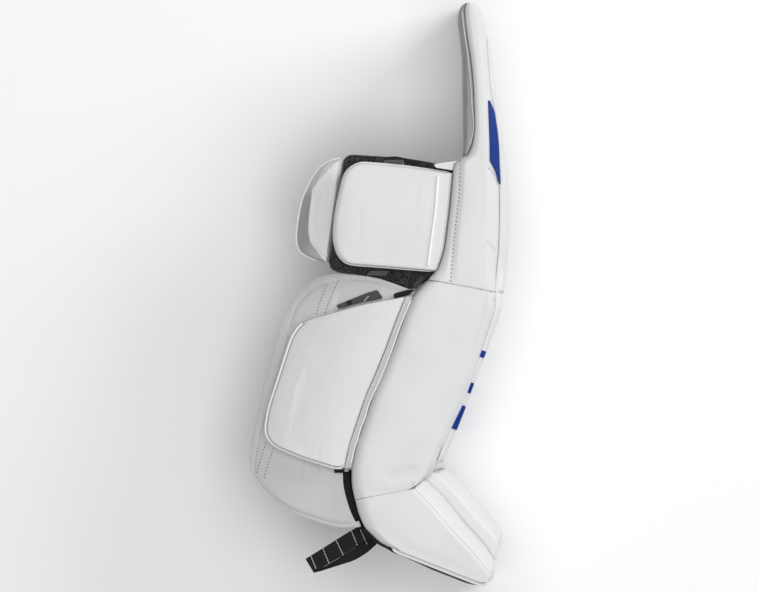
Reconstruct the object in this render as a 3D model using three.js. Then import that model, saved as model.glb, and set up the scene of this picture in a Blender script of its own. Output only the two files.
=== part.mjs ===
// A hockey goalie's leg pad, lying on its outer side wall as it rests by itself. Lengths are in millimetres.
// X points from the heel to the face of the pad, Y from the toe to the thigh end, and Z from the outer
// side, on which it lies, to the inner side. The origin is the middle of its box, at the lowest level.
import * as THREE from "three";

// The bent body, measured in side view.
const PAD_HEIGHT = 878;
const BODY_REACH = 237;
const PAD_WIDTH = 279;
const THIGH_CORE_DEPTH = 15;
const KNEE_DEPTH = 63;
const SHIN_DEPTH = 120;
const BOOT_DEPTH = 156;
const BACK_PANEL_DEPTH = 18;
const BACK_PANEL_INSET = 4;
const BACK_PANEL_ROUND = 4;

// The bevel between the side walls and the face, the rounded rear edge and the leg channel.
const BEVEL_DEPTH = 20;
const BEVEL_WIDTH = 28;
const REAR_ROUND = 14;
const ROLL_WIDTH = 55;
const CHANNEL_DEPTH = 60;

// The raised panels of the face, and the blue leather on them.
const FACE_PANEL_DEPTH = 13;
const TOE_PANEL_DEPTH = 31;
const PANEL_MARGIN = 3;
const LEATHER = 1.5;

// The knee block, the mesh pad that carries it, and the wing behind it.
const KNEE_BLOCK_WIDTH = 172;
const KNEE_BLOCK_HEIGHT = 162;
const KNEE_BLOCK_DEPTH = 46;
const KNEE_HEAD_ROOM = 10;
const KNEE_COVER_DEPTH = 34;
const KNEE_STEP = 3;
const WING_WIDTH = 48;
const WING_TRIM = 2;
const WING_DEPTH = 26;
const WING_TURN = 16;
const WING_RAISE = 10;
const TAB_THICKNESS = 2.5;

// The calf wrap, the landing that stands on it and the strip that hinges them on the body.
const WRAP_WIDTH = 182;
const WRAP_HEAD_ROOM = 59;
const WRAP_FOOT_HEIGHT = 87;
const WRAP_THICKNESS = 10;
const WRAP_CURL = 36;
const WRAP_DROP = 45;
const LANDING_WIDTH = 150;
const LANDING_HEAD_ROOM = 39;
const LANDING_FOOT_HEIGHT = 180;
const LANDING_DEPTH = 27;
const HINGE_WIDTH = 11;
const HINGE_THICKNESS = 4;
const STRAP_END_THICKNESS = 4;

// The boot's liner, its bound edge and its webbing loop.
const LINER_THICKNESS = 3;
const LINER_LIP = 5;
const BINDING_RADIUS = 2;
const WEBBING_WIDTH = 25;
const WEBBING_THICKNESS = 2;
const STRAP_REACH = 148;
const STRAP_LOOP = 9;
const STRAP_ANGLE = 31;
const STRAP_DROP = 19;

// Pieces that touch keep SEAM_GAP, and a piece over a curved one keeps REST_GAP.
const SEAM_GAP = 0.4;
const REST_GAP = 1.2;

// Shares that shape the edges: the middle point of a rounded edge, the height at which a panel's edge starts
// to lean and how far it leans in, and the room that a rounded corner leaves to its neighbour.
const ROUND_MIDDLE = 0.3;
const PANEL_EDGE = 0.5;
const PANEL_LEAN = 0.7;
const CORNER_ROOM = 0.9;
const CORNER_STEPS = 2;

// Cross-sections of the body from the thigh end to the toe. The ridge is where the side wall meets the bevel:
// up is its share of PAD_HEIGHT and ridge its share of BODY_REACH. lean turns the section's rear end up, and
// aim turns the bevel up, in degrees. side is the share of the stretch's own depth from the rear edge to the
// ridge, bevel the share of BEVEL_DEPTH, channel the share of CHANNEL_DEPTH, face the share of the face
// panel's depth, and back the share of BACK_PANEL_DEPTH.
const THIGH_ROWS = [
  { up: 1.0, ridge: 0.759, lean: 0, aim: 0, side: 0.4, bevel: 0.22, channel: 0.04, face: 0, back: 0.17 },
  { up: 0.991, ridge: 0.782, lean: 0, aim: 0, side: 1.05, bevel: 0.44, channel: 0.04, face: 0, back: 0.33 },
  { up: 0.974, ridge: 0.791, lean: 0, aim: 0, side: 1.15, bevel: 0.63, channel: 0.04, face: 0, back: 0.5 },
  { up: 0.94, ridge: 0.807, lean: 0, aim: 0, side: 1.15, bevel: 0.65, channel: 0.04, face: 0.12, back: 0.53 },
  { up: 0.903, ridge: 0.823, lean: 0, aim: 0, side: 1.03, bevel: 0.56, channel: 0.04, face: 0.23, back: 0.77 },
  { up: 0.86, ridge: 0.832, lean: 0, aim: 0, side: 0.92, bevel: 0.6, channel: 0.04, face: 0.3, back: 0.96 },
  { up: 0.817, ridge: 0.839, lean: 0, aim: 0, side: 0.93, bevel: 0.81, channel: 0.04, face: 0.35, back: 1.0 },
  { up: 0.783, ridge: 0.845, lean: 0, aim: 0, side: 1.0, bevel: 0.93, channel: 0.04, face: 0.41, back: 0.98 },
  { up: 0.757, ridge: 0.85, lean: 0, aim: 0, side: 1.33, bevel: 0.99, channel: 0.04, face: 0.47, back: 0.7 },
  { up: 0.738, ridge: 0.853, lean: 0, aim: 0, side: 1.98, bevel: 0.98, channel: 0.04, face: 0.59, back: 0.37 },
];
const KNEE_ROWS = [
  { up: 0.725, ridge: 0.854, lean: 0, aim: 0, side: 0.76, bevel: 0.98, channel: 0.1, face: 0.7 },
  { up: 0.697, ridge: 0.858, lean: 0, aim: 0, side: 0.81, bevel: 1.0, channel: 0.25, face: 0.82 },
  { up: 0.646, ridge: 0.861, lean: 0, aim: 0, side: 0.89, bevel: 1.0, channel: 0.4, face: 1.0 },
  { up: 0.578, ridge: 0.858, lean: 0, aim: -1, side: 1.0, bevel: 0.96, channel: 0.5, face: 1.0 },
  { up: 0.54, ridge: 0.858, lean: 4, aim: -3, side: 1.15, bevel: 0.78, channel: 0.6, face: 1.0 },
];
const SHIN_ROWS = [
  { up: 0.507, ridge: 0.877, lean: 10.7, aim: -7, side: 0.78, bevel: 0.44, channel: 0.75, face: 0.87 },
  { up: 0.479, ridge: 0.883, lean: 17, aim: -15, side: 0.9, bevel: 0.37, channel: 0.9, face: 0.64 },
  { up: 0.455, ridge: 0.854, lean: 20.5, aim: -20, side: 0.96, bevel: 0.37, channel: 1.0, face: 0.54 },
  { up: 0.41, ridge: 0.797, lean: 21, aim: -20.5, side: 0.98, bevel: 0.37, channel: 1.0, face: 0.46 },
  { up: 0.364, ridge: 0.741, lean: 21, aim: -21, side: 0.99, bevel: 0.37, channel: 1.0, face: 0.28 },
  { up: 0.318, ridge: 0.677, lean: 21, aim: -21, side: 1.0, bevel: 0.37, channel: 1.0, face: 0.35 },
  { up: 0.279, ridge: 0.608, lean: 21, aim: -21, side: 0.99, bevel: 0.37, channel: 1.0, face: 0.57 },
  { up: 0.241, ridge: 0.544, lean: 20, aim: -21, side: 0.96, bevel: 0.37, channel: 1.0, face: 0.57 },
  { up: 0.21, ridge: 0.5, lean: 15, aim: -18, side: 0.95, bevel: 0.37, channel: 1.0, face: 0.5 },
  { up: 0.191, ridge: 0.462, lean: 6, aim: 10, side: 0.91, bevel: 0.59, channel: 0.95, face: 0 },
  { up: 0.179, ridge: 0.424, lean: -3, aim: 32, side: 0.825, bevel: 0.96, channel: 0.9, face: 0 },
  { up: 0.169, ridge: 0.386, lean: -11, aim: 42.5, side: 0.725, bevel: 1.31, channel: 0.85, face: 0 },
];
const BOOT_ROWS = [
  { up: 0.165, ridge: 0.396, lean: -10, aim: 32, side: 0.565, bevel: 1.3, channel: 0.86, face: 1.0 },
  { up: 0.137, ridge: 0.5, lean: -4, aim: 41, side: 0.69, bevel: 1.3, channel: 0.9, face: 1.0 },
  { up: 0.097, ridge: 0.627, lean: 2, aim: 41, side: 0.817, bevel: 1.28, channel: 1.0, face: 1.0 },
  { up: 0.053, ridge: 0.778, lean: 9.5, aim: 41, side: 0.933, bevel: 1.26, channel: 1.0, face: 1.0 },
  { up: 0.022, ridge: 0.886, lean: 15.5, aim: 75, side: 1.0, bevel: 1.15, channel: 0.95, face: 1.0 },
  { up: 0.003, ridge: 0.848, lean: 21.5, aim: 38, side: 0.95, bevel: 0.89, channel: 0.9, face: 0.3 },
];

const KNEE_SEAM = SHIN_ROWS[0].up;
const ANKLE_SEAM = SHIN_ROWS.at(-1).up;
const TOE_END = BOOT_ROWS.at(-1).up;
const BACK_PANEL_END = THIGH_ROWS.at(-1).up;
const LINER_TOP = 0.189;
const STRAP_ROOT = 0.126;

// Where the face panels and the blue bars start and end, as shares of PAD_HEIGHT.
const KNEE_PANEL = { top: 0.94, end: KNEE_SEAM };
const SHIN_PANEL = { top: KNEE_SEAM, end: 0.225 };
const TOE_PANEL = { top: 0.165, end: 0.022 };
const BLUE_BARS = [
  { name: "blue_bar_upper", top: 0.41, end: 0.398 },
  { name: "blue_bar_middle", top: 0.355, end: 0.337 },
  { name: "blue_bar_lower", top: 0.316, end: 0.276 },
];

// The blue insert on the thigh's bevel: inner and outer are its edges as shares of the bevel's width.
const INSERT_ROWS = [
  { up: 0.833, inner: 0.45, outer: 0.6 },
  { up: 0.814, inner: 0.4, outer: 0.92 },
  { up: 0.783, inner: 0.34, outer: 0.97 },
  { up: 0.73, inner: 0.26, outer: 0.97 },
  { up: 0.71, inner: 0.72, outer: 0.97 },
  { up: 0.69, inner: 0.9, outer: 0.97 },
];

// How far up each piece meets the body's rear edge, as shares of its own height.
const KNEE_BLOCK_EDGE = { low: 0.0, high: 0.9 };
const KNEE_COVER_EDGE = { low: -0.08, high: 0.93 };
const KNEE_GUSSET_EDGE = { low: 0.93, high: 1.02 };
const WRAP_FOOT_EDGE = { low: 0.012, high: 0.27 };
const WRAP_EDGE = { low: 0.3, high: 1.08 };
const LANDING_EDGE = { low: 0.0, high: 1.0 };

// Free corners of the flat outlines, in turn. out is the share of the piece's width behind the body's rear
// edge, up the share of its height, and round the share of the shorter edge beside it that a corner takes.
const KNEE_BLOCK_CORNERS = [
  { out: 0.4, up: 0.965, round: 0.5 },
  { out: 0.82, up: 1.0, round: 0.3 },
  { out: 0.95, up: 0.93, round: 0.5 },
  { out: 1.0, up: 0.5, round: 0.5 },
  { out: 0.98, up: 0.25, round: 0.4 },
  { out: 0.86, up: 0.07, round: 0.5 },
];
const KNEE_COVER_CORNERS = [
  { out: 0.15, up: 0.99, round: 0.4 },
  { out: 0.43, up: 1.04, round: 0.4 },
  { out: 0.97, up: 1.075, round: 0.1 },
  { out: 1.02, up: 0.5, round: 0.4 },
  { out: 1.02, up: 0.03, round: 0.4 },
];
// The lower edge of the mesh pad is also the upper edge of the calf wrap.
const KNEE_COVER_HEM = [
  { out: 0.84, up: -0.01, round: 0.3 },
  { out: 0.43, up: -0.065, round: 0.4 },
  { out: 0.06, up: -0.175, round: 0.3 },
];
const KNEE_GUSSET_CORNERS = [
  { out: 0.1, up: 1.0, round: 0.3 },
  { out: 0.17, up: 0.985, round: 0.2 },
  { out: 0.15, up: 0.955, round: 0.2 },
];
const KNEE_TABS = [
  { name: "knee_tab_upper", near: 0.43, far: 0.6, low: 0.981, high: 1.03 },
  { name: "knee_tab_lower", near: 0.4, far: 0.57, low: -0.045, high: 0.0 },
];
const WING_CORNERS = [
  { out: 0.38, up: 0.97, round: 0.4 },
  { out: 0.6, up: 0.91, round: 0.4 },
  { out: 0.81, up: 0.8, round: 0.4 },
  { out: 0.99, up: 0.62, round: 0.4 },
  { out: 1.0, up: 0.41, round: 0.5 },
  { out: 0.93, up: 0.22, round: 0.4 },
  { out: 0.76, up: 0.12, round: 0.4 },
  { out: 0.44, up: 0.05, round: 0.4 },
  { out: 0.1, up: 0.01, round: 0.3 },
];
const WRAP_CORNERS = [
  { out: 0.94, up: 1.15, round: 0.4 },
  { out: 0.98, up: 1.1, round: 0.4 },
  { out: 0.99, up: 1.03, round: 0.4 },
  { out: 1.0, up: 0.95, round: 0.4 },
  { out: 0.98, up: 0.83, round: 0.4 },
  { out: 0.94, up: 0.67, round: 0.4 },
  { out: 0.9, up: 0.52, round: 0.4 },
  { out: 0.87, up: 0.38, round: 0.4 },
  { out: 0.84, up: 0.28, round: 0.4 },
  { out: 0.79, up: 0.2, round: 0.4 },
  { out: 0.69, up: 0.14, round: 0.4 },
  { out: 0.55, up: 0.08, round: 0.4 },
  { out: 0.35, up: 0.03, round: 0.4 },
  { out: 0.2, up: 0.005, round: 0.4 },
];
const LANDING_CORNERS = [
  { out: 0.4, up: 0.955, round: 0.5 },
  { out: 0.68, up: 0.9, round: 0.4 },
  { out: 0.93, up: 0.86, round: 0.5 },
  { out: 1.0, up: 0.77, round: 0.5 },
  { out: 0.97, up: 0.57, round: 0.5 },
  { out: 0.94, up: 0.34, round: 0.4 },
  { out: 0.89, up: 0.2, round: 0.5 },
  { out: 0.76, up: 0.13, round: 0.4 },
  { out: 0.45, up: 0.06, round: 0.3 },
  { out: 0.09, up: 0.0, round: 0.2 },
];
const STRAP_END_CORNERS = [
  { out: 0.42, up: 0.966, round: 0.1 },
  { out: 0.62, up: 0.928, round: 0.1 },
  { out: 0.66, up: 0.95, round: 0.1 },
  { out: 0.42, up: 1.02, round: 0.1 },
  { out: 0.34, up: 1.04, round: 0.2 },
  { out: 0.22, up: 0.99, round: 0.2 },
];
const STRAP_HOOK_CORNERS = [
  { out: -0.03, up: 1.012, round: 0.2 },
  { out: 0.11, up: 0.99, round: 0.2 },
  { out: 0.14, up: 1.018, round: 0.3 },
  { out: 0.04, up: 1.04, round: 0.2 },
  { out: -0.03, up: 1.04, round: 0.1 },
];
const LANDING_TAB_CORNERS = [
  { out: 0.0, up: -0.006, round: 0.1 },
  { out: 0.1, up: -0.006, round: 0.1 },
  { out: 0.1, up: -0.03, round: 0.1 },
  { out: 0.0, up: -0.03, round: 0.1 },
];

// The webbing loop's route from the boot's channel out to its fold and back: reach is the share of
// STRAP_REACH, sway the share of WEBBING_WIDTH across it, and level the share of STRAP_LOOP below its face.
const STRAP_ROWS = [
  { reach: 0.0, sway: 0.0, level: 0.0 },
  { reach: 0.5, sway: 0.05, level: 0.0 },
  { reach: 0.95, sway: 0.0, level: 0.0 },
  { reach: 0.985, sway: 0.0, level: 0.15 },
  { reach: 1.0, sway: 0.0, level: 0.5 },
  { reach: 0.985, sway: 0.0, level: 0.85 },
  { reach: 0.95, sway: -0.05, level: 1.0 },
  { reach: 0.55, sway: -0.35, level: 1.0 },
  { reach: 0.25, sway: -0.3, level: 1.0 },
  { reach: 0.0, sway: 0.0, level: 1.0 },
];

// How a padded piece swells: pull is the share by which its outline draws in to the middle, and rise the
// share of its depth above what it lies on.
const BLOCK_LAYERS = [
  { pull: 0.06, rise: 0 },
  { pull: 0.0, rise: 0.12 },
  { pull: 0.0, rise: 0.78 },
  { pull: 0.03, rise: 0.93 },
  { pull: 0.09, rise: 0.98 },
  { pull: 0.5, rise: 1.0 },
];
const WING_LAYERS = [
  { pull: 0.12, rise: 0 },
  { pull: 0.0, rise: 0.2 },
  { pull: 0.05, rise: 0.45 },
  { pull: 0.34, rise: 0.95 },
  { pull: 0.6, rise: 1.0 },
];
const WRAP_LAYERS = [
  { pull: 0.85, rise: 0 },
  { pull: 0.6, rise: 0 },
  { pull: 0.3, rise: 0 },
  { pull: 0.0, rise: 0.15 },
  { pull: 0.0, rise: 0.85 },
  { pull: 0.3, rise: 1 },
  { pull: 0.6, rise: 1 },
  { pull: 0.85, rise: 1 },
];
const LANDING_LAYERS = [
  { pull: 0.8, rise: 0 },
  { pull: 0.5, rise: 0 },
  { pull: 0.2, rise: 0 },
  { pull: 0.0, rise: 0.0 },
  { pull: 0.0, rise: 0.75 },
  { pull: 0.03, rise: 0.93 },
  { pull: 0.1, rise: 0.98 },
  { pull: 0.5, rise: 1.0 },
];
const FLAT_LAYERS = [
  { pull: 0.0, rise: 0 },
  { pull: 0.0, rise: 1 },
];

const WHITE_LEATHER = { color: 0xe9eaec, roughness: 0.5, metalness: 0 };
const BACK_LEATHER = { color: 0x9b9da1, roughness: 0.7, metalness: 0 };
const BLUE_LEATHER = { color: 0x10398f, roughness: 0.45, metalness: 0 };
const DARK_MESH = { color: 0x35373b, roughness: 0.9, metalness: 0 };
const DARK_ELASTIC = { color: 0x46484c, roughness: 0.85, metalness: 0 };
const BLACK_WEBBING = { color: 0x1b1c1f, roughness: 0.8, metalness: 0 };
const GREY_STRIP = { color: 0xb9bbbf, roughness: 0.6, metalness: 0 };

const pad = new THREE.Group();

// Adds one finished piece to the pad.
function addPiece(name, geometry, finish) {
  const piece = new THREE.Mesh(geometry, new THREE.MeshStandardMaterial(finish));
  piece.name = name;
  pad.add(piece);
}

// The body's cross-sections in millimetres.
function stretch(rows, sideDepth, panelDepth) {
  return rows.map((row) => ({
    up: row.up * PAD_HEIGHT,
    ridge: row.ridge * BODY_REACH,
    lean: row.lean,
    aim: row.aim,
    side: row.side * sideDepth,
    bevel: row.bevel * BEVEL_DEPTH,
    channel: row.channel * CHANNEL_DEPTH,
    face: row.face * panelDepth,
    back: (row.back ?? 0) * BACK_PANEL_DEPTH,
  }));
}

const SECTIONS = [
  ...stretch(THIGH_ROWS, THIGH_CORE_DEPTH, FACE_PANEL_DEPTH),
  ...stretch(KNEE_ROWS, KNEE_DEPTH, FACE_PANEL_DEPTH),
  ...stretch(SHIN_ROWS, SHIN_DEPTH, FACE_PANEL_DEPTH),
  ...stretch(BOOT_ROWS, BOOT_DEPTH, TOE_PANEL_DEPTH),
];

// The section at a height, between the two sections next to it.
function sectionAt(height) {
  const next = SECTIONS.findIndex((section) => section.up <= height);
  if (next < 1) return next === 0 ? SECTIONS[0] : SECTIONS.at(-1);
  const above = SECTIONS[next - 1];
  const below = SECTIONS[next];
  const share = (above.up - height) / (above.up - below.up);
  const mix = {};
  for (const key of Object.keys(above)) mix[key] = THREE.MathUtils.lerp(above[key], below[key], share);
  return mix;
}

// The sections from one height down to another, with every section of the table between them.
function sectionsBetween(top, end) {
  const inside = SECTIONS.filter((section) => section.up < top && section.up > end);
  return [sectionAt(top), ...inside, sectionAt(end)];
}

// The rear edge, ridge and front edge of a section in side view, with its two directions.
function plan(section) {
  const lean = THREE.MathUtils.degToRad(section.lean);
  const aim = THREE.MathUtils.degToRad(section.aim);
  const inward = new THREE.Vector2(Math.cos(lean), -Math.sin(lean));
  const ahead = new THREE.Vector2(Math.cos(aim), Math.sin(aim));
  const ridge = new THREE.Vector2(section.ridge, section.up);
  const rear = ridge.clone().addScaledVector(inward, -section.side);
  const front = ridge.clone().addScaledVector(ahead, section.bevel);
  return { inward, ahead, ridge, rear, front };
}

// A point of the side view, moved along a direction and lifted to a level.
function at(point, direction, distance, level) {
  const moved = point.clone().addScaledVector(direction, distance);
  return new THREE.Vector3(moved.x, moved.y, level);
}

// The same place on the other side of the pad.
const otherSide = (p) => new THREE.Vector3(p.x, p.y, PAD_WIDTH - p.z);

// A ring from its outer half, which is mirrored for the inner half.
const bothSides = (half) => [...half, ...half.map(otherSide).reverse()];

// How far a section's bevel runs across the pad from the side wall.
const bevelWidth = (section) => Math.min(BEVEL_WIDTH, section.bevel * 2);

// The body's ring: outer side wall, bevels and face, inner side wall, and the leg channel in its back.
function bodyRing(section) {
  const { inward, ahead, ridge, rear, front } = plan(section);
  const round = Math.min(REAR_ROUND, section.side / 2);
  return bothSides([
    at(rear, inward, section.channel, ROLL_WIDTH),
    at(rear, inward, 0, ROLL_WIDTH),
    at(rear, inward, 0, round),
    at(rear, inward, round * ROUND_MIDDLE, round * ROUND_MIDDLE),
    at(rear, inward, round, 0),
    at(ridge, ahead, 0, 0),
    at(front, ahead, 0, bevelWidth(section)),
  ]);
}

// The ring of a panel on the face, its edges bevelled, standing the given height off the body.
function panelRing(section, lift, height, margin) {
  const { ahead, front } = plan(section);
  const edge = bevelWidth(section) + margin;
  return bothSides([
    at(front, ahead, lift, edge),
    at(front, ahead, lift + height * PANEL_EDGE, edge),
    at(front, ahead, lift + height, edge + height * PANEL_LEAN),
  ]);
}

// A thin ring that follows the outside of a face panel: a bar of leather laid over it.
function barRing(section) {
  const { ahead, front } = plan(section);
  const edge = bevelWidth(section) + PANEL_MARGIN - SEAM_GAP;
  const top = section.face + SEAM_GAP * 2;
  const lean = section.face * PANEL_LEAN;
  const side = (skin) => [
    at(front, ahead, SEAM_GAP * 2, edge - skin),
    at(front, ahead, SEAM_GAP + section.face * PANEL_EDGE, edge - skin),
    at(front, ahead, top + skin, edge + lean - skin / 2),
  ];
  return [...bothSides(side(0)), ...bothSides(side(LEATHER)).reverse()];
}

// The ring of the thigh's back panel, behind the core.
function backRing(section) {
  const { inward, rear } = plan(section);
  const near = -SEAM_GAP;
  const far = -SEAM_GAP - section.back;
  const soft = Math.min(section.back / 2, BACK_PANEL_ROUND);
  return bothSides([
    at(rear, inward, near, BACK_PANEL_INSET),
    at(rear, inward, far + soft, BACK_PANEL_INSET),
    at(rear, inward, far, BACK_PANEL_INSET + soft * 2),
  ]);
}

// The ring of the boot's liner: a thin trough in the leg channel, whose lips stand behind the rear edge.
function linerRing(section) {
  const { inward, rear } = plan(section);
  const floor = section.channel - SEAM_GAP;
  const wall = ROLL_WIDTH + SEAM_GAP;
  const outside = [at(rear, inward, -LINER_LIP, wall), at(rear, inward, floor, wall)];
  const inside = [
    at(rear, inward, -LINER_LIP, wall + LINER_THICKNESS),
    at(rear, inward, floor - LINER_THICKNESS, wall + LINER_THICKNESS),
  ];
  return [...bothSides(outside), ...bothSides(inside).reverse()];
}

// The flat triangles that close a ring, as triples of its point numbers.
function capOf(ring) {
  const normal = new THREE.Vector3();
  ring.forEach((p, i) => {
    const q = ring[(i + 1) % ring.length];
    normal.x += (p.y - q.y) * (p.z + q.z);
    normal.y += (p.z - q.z) * (p.x + q.x);
    normal.z += (p.x - q.x) * (p.y + q.y);
  });
  const turn = new THREE.Quaternion().setFromUnitVectors(normal.normalize(), new THREE.Vector3(0, 0, 1));
  const flat = ring.map((p) => p.clone().applyQuaternion(turn)).map((p) => new THREE.Vector2(p.x, p.y));
  return THREE.ShapeUtils.triangulateShape(flat, []);
}

// One closed skin through rings with the same number of points, its faces turned outwards.
function loft(rings) {
  const count = rings[0].length;
  const last = (rings.length - 1) * count;
  const faces = [];
  for (let start = 0; start < last; start += count) {
    for (let i = 0; i < count; i += 1) {
      const j = (i + 1) % count;
      faces.push([start + i, start + j, start + count + j]);
      faces.push([start + i, start + count + j, start + count + i]);
    }
  }
  capOf(rings[0]).forEach(([a, b, c]) => faces.push([a, c, b]));
  capOf(rings.at(-1)).forEach(([a, b, c]) => faces.push([last + a, last + b, last + c]));
  const points = rings.flat();
  let volume = 0;
  for (const [a, b, c] of faces) volume += points[a].dot(points[b].clone().cross(points[c]));
  const outward = volume < 0 ? faces.map(([a, b, c]) => [a, c, b]) : faces;
  const geometry = new THREE.BufferGeometry().setFromPoints(points);
  geometry.setIndex(outward.flat());
  geometry.computeVertexNormals();
  return geometry;
}

// A stretch of the body between two heights, each end drawn in by half a seam.
function bodyStretch(top, end, ringOf) {
  const rings = sectionsBetween(top * PAD_HEIGHT, end * PAD_HEIGHT).map(ringOf);
  rings[0].forEach((p) => p.setY(p.y - SEAM_GAP / 2));
  rings.at(-1).forEach((p) => p.setY(p.y + SEAM_GAP / 2));
  return loft(rings);
}

// The body's rear edge in side view, from the foot of the back panel to the toe.
const REAR_EDGE = SECTIONS.slice(THIGH_ROWS.length - 1).map((section) => plan(section).rear);
const KNEE_TOP = REAR_EDGE[1].y;

// Where a level line crosses a closed line of points, at its least x.
function leastCrossing(points, height) {
  const found = [];
  points.forEach((p, i) => {
    const q = points[(i + 1) % points.length];
    if ((p.y - height) * (q.y - height) > 0 || p.y === q.y) return;
    found.push(p.x + ((q.x - p.x) * (height - p.y)) / (q.y - p.y));
  });
  return Math.min(...found);
}

// The x of the rear edge at a height, kept to the edge's own ends.
function rearEdgeAt(height) {
  const clamped = THREE.MathUtils.clamp(height, REAR_EDGE.at(-1).y, REAR_EDGE[0].y);
  const next = Math.max(1, REAR_EDGE.findIndex((p) => p.y <= clamped));
  const [above, below] = [REAR_EDGE[next - 1], REAR_EDGE[next]];
  return THREE.MathUtils.mapLinear(clamped, above.y, below.y, above.x, below.x);
}

// A free corner of a piece that hangs behind the rear edge, in the frame of its foot, height and width.
function behindEdge(row, { foot, height, width }, margin) {
  const y = foot + row.up * height;
  const x = rearEdgeAt(Math.min(y, KNEE_TOP)) - margin - row.out * width;
  return { point: new THREE.Vector2(x, y), round: row.round };
}

// Sharp corners that follow the rear edge upwards, a margin behind it, between two shares of a height.
function hugEdge({ low, high }, { foot, height }, margin) {
  const [start, stop] = [foot + low * height, foot + high * height];
  const bends = REAR_EDGE.map((p) => p.y).filter((y) => y > start && y < stop).reverse();
  const sharp = (y) => ({ point: new THREE.Vector2(rearEdgeAt(y) - margin, y), round: 0 });
  return [start, ...bends, stop].map(sharp);
}

// The frames that the outlines' shares are of. The knee block hangs below the thigh's back panel, and the
// calf wrap and its landing reach up to the knee block.
const KNEE_FOOT = BACK_PANEL_END * PAD_HEIGHT - KNEE_HEAD_ROOM - KNEE_BLOCK_HEIGHT;
const KNEE_FRAME = { foot: KNEE_FOOT, height: KNEE_BLOCK_HEIGHT, width: KNEE_BLOCK_WIDTH };
const WRAP_FRAME = upToKnee(WRAP_FOOT_HEIGHT, WRAP_HEAD_ROOM, WRAP_WIDTH);
const LANDING_FRAME = upToKnee(LANDING_FOOT_HEIGHT, LANDING_HEAD_ROOM, LANDING_WIDTH);

// The frame of a piece that reaches from its foot to a room below the knee block.
function upToKnee(foot, room, width) {
  return { foot, height: KNEE_FOOT - room - foot, width };
}

const kneeCorner = (row) => behindEdge(row, KNEE_FRAME, SEAM_GAP * 2);
const wrapCorner = (row) => behindEdge(row, WRAP_FRAME, SEAM_GAP * 2);
const landingCorner = (row) => behindEdge(row, LANDING_FRAME, HINGE_WIDTH);
const kneeEdge = (span) => hugEdge(span, KNEE_FRAME, SEAM_GAP * 2);

// A closed outline through corners, each rounded by its share of the shorter edge beside it.
function outline(corners) {
  return corners.flatMap(({ point, round }, i) => {
    if (round === 0) return [point];
    const before = corners.at(i - 1).point;
    const after = corners[(i + 1) % corners.length].point;
    const reach = round * Math.min(point.distanceTo(before), point.distanceTo(after)) * CORNER_ROOM;
    const enter = point.clone().add(before.clone().sub(point).setLength(reach));
    const leave = point.clone().add(after.clone().sub(point).setLength(reach));
    return new THREE.QuadraticBezierCurve(enter, point, leave).getPoints(CORNER_STEPS);
  });
}

// The line through the middle of an outline, between the means of its lowest and its highest quarter.
function spineOf(points) {
  const box = new THREE.Box2().setFromPoints(points);
  const quarter = (box.max.y - box.min.y) / 4;
  const sum = (chosen) => chosen.reduce((total, p) => total.add(p), new THREE.Vector2());
  const mean = (chosen) => sum(chosen).divideScalar(chosen.length);
  const low = mean(points.filter((p) => p.y < box.min.y + quarter));
  const high = mean(points.filter((p) => p.y > box.max.y - quarter));
  return new THREE.Line3(new THREE.Vector3(low.x, low.y, 0), new THREE.Vector3(high.x, high.y, 0));
}

// A padded piece on an outline: each layer draws the outline in and lifts it above the floor under it.
function cushion(points, layers, depth, floorAt) {
  const spine = spineOf(points);
  const spots = points.map((p) => new THREE.Vector3(p.x, p.y, 0));
  const middles = spots.map((p) => spine.closestPointToPoint(p, true, new THREE.Vector3()));
  const rings = layers.map(({ pull, rise }) =>
    spots.map((p, i) => {
      const q = p.clone().lerp(middles[i], pull);
      return q.setZ(floorAt(q.x, q.y) + rise * depth);
    }),
  );
  return loft(rings);
}

// The underside of the calf wrap, which curls round the calf away from the body.
function wrapFloor(x, y) {
  const share = THREE.MathUtils.clamp((rearEdgeAt(y) - x) / WRAP_WIDTH, 0, 1.2);
  return PAD_WIDTH - WRAP_DROP - WRAP_CURL * share * share;
}

const overWrap = (x, y) => wrapFloor(x, y) + WRAP_THICKNESS + REST_GAP;

// The body and the panels of its face.
function makeBody() {
  addPiece("thigh_knee_section", bodyStretch(1, KNEE_SEAM, bodyRing), WHITE_LEATHER);
  addPiece("shin_section", bodyStretch(KNEE_SEAM, ANKLE_SEAM, bodyRing), WHITE_LEATHER);
  addPiece("boot_section", bodyStretch(ANKLE_SEAM, TOE_END, bodyRing), WHITE_LEATHER);
  addPiece("thigh_back_panel", bodyStretch(1, BACK_PANEL_END, backRing), BACK_LEATHER);
  const raised = (section) => panelRing(section, SEAM_GAP, section.face, PANEL_MARGIN);
  addPiece("knee_face_panel", bodyStretch(KNEE_PANEL.top, KNEE_PANEL.end, raised), WHITE_LEATHER);
  addPiece("shin_face_panel", bodyStretch(SHIN_PANEL.top, SHIN_PANEL.end, raised), WHITE_LEATHER);
  addPiece("toe_face_panel", bodyStretch(TOE_PANEL.top, TOE_PANEL.end, raised), WHITE_LEATHER);
}

// The inner and outer edges of the blue insert at a height, as shares of the bevel's width.
function insertEdges(height) {
  const last = INSERT_ROWS.length - 1;
  const found = INSERT_ROWS.findIndex((row) => row.up * PAD_HEIGHT <= height);
  const next = THREE.MathUtils.clamp(found < 0 ? last : found, 1, last);
  const [above, below] = [INSERT_ROWS[next - 1], INSERT_ROWS[next]];
  const share = THREE.MathUtils.clamp((above.up - height / PAD_HEIGHT) / (above.up - below.up), 0, 1);
  const { lerp } = THREE.MathUtils;
  return { inner: lerp(above.inner, below.inner, share), outer: lerp(above.outer, below.outer, share) };
}

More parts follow.
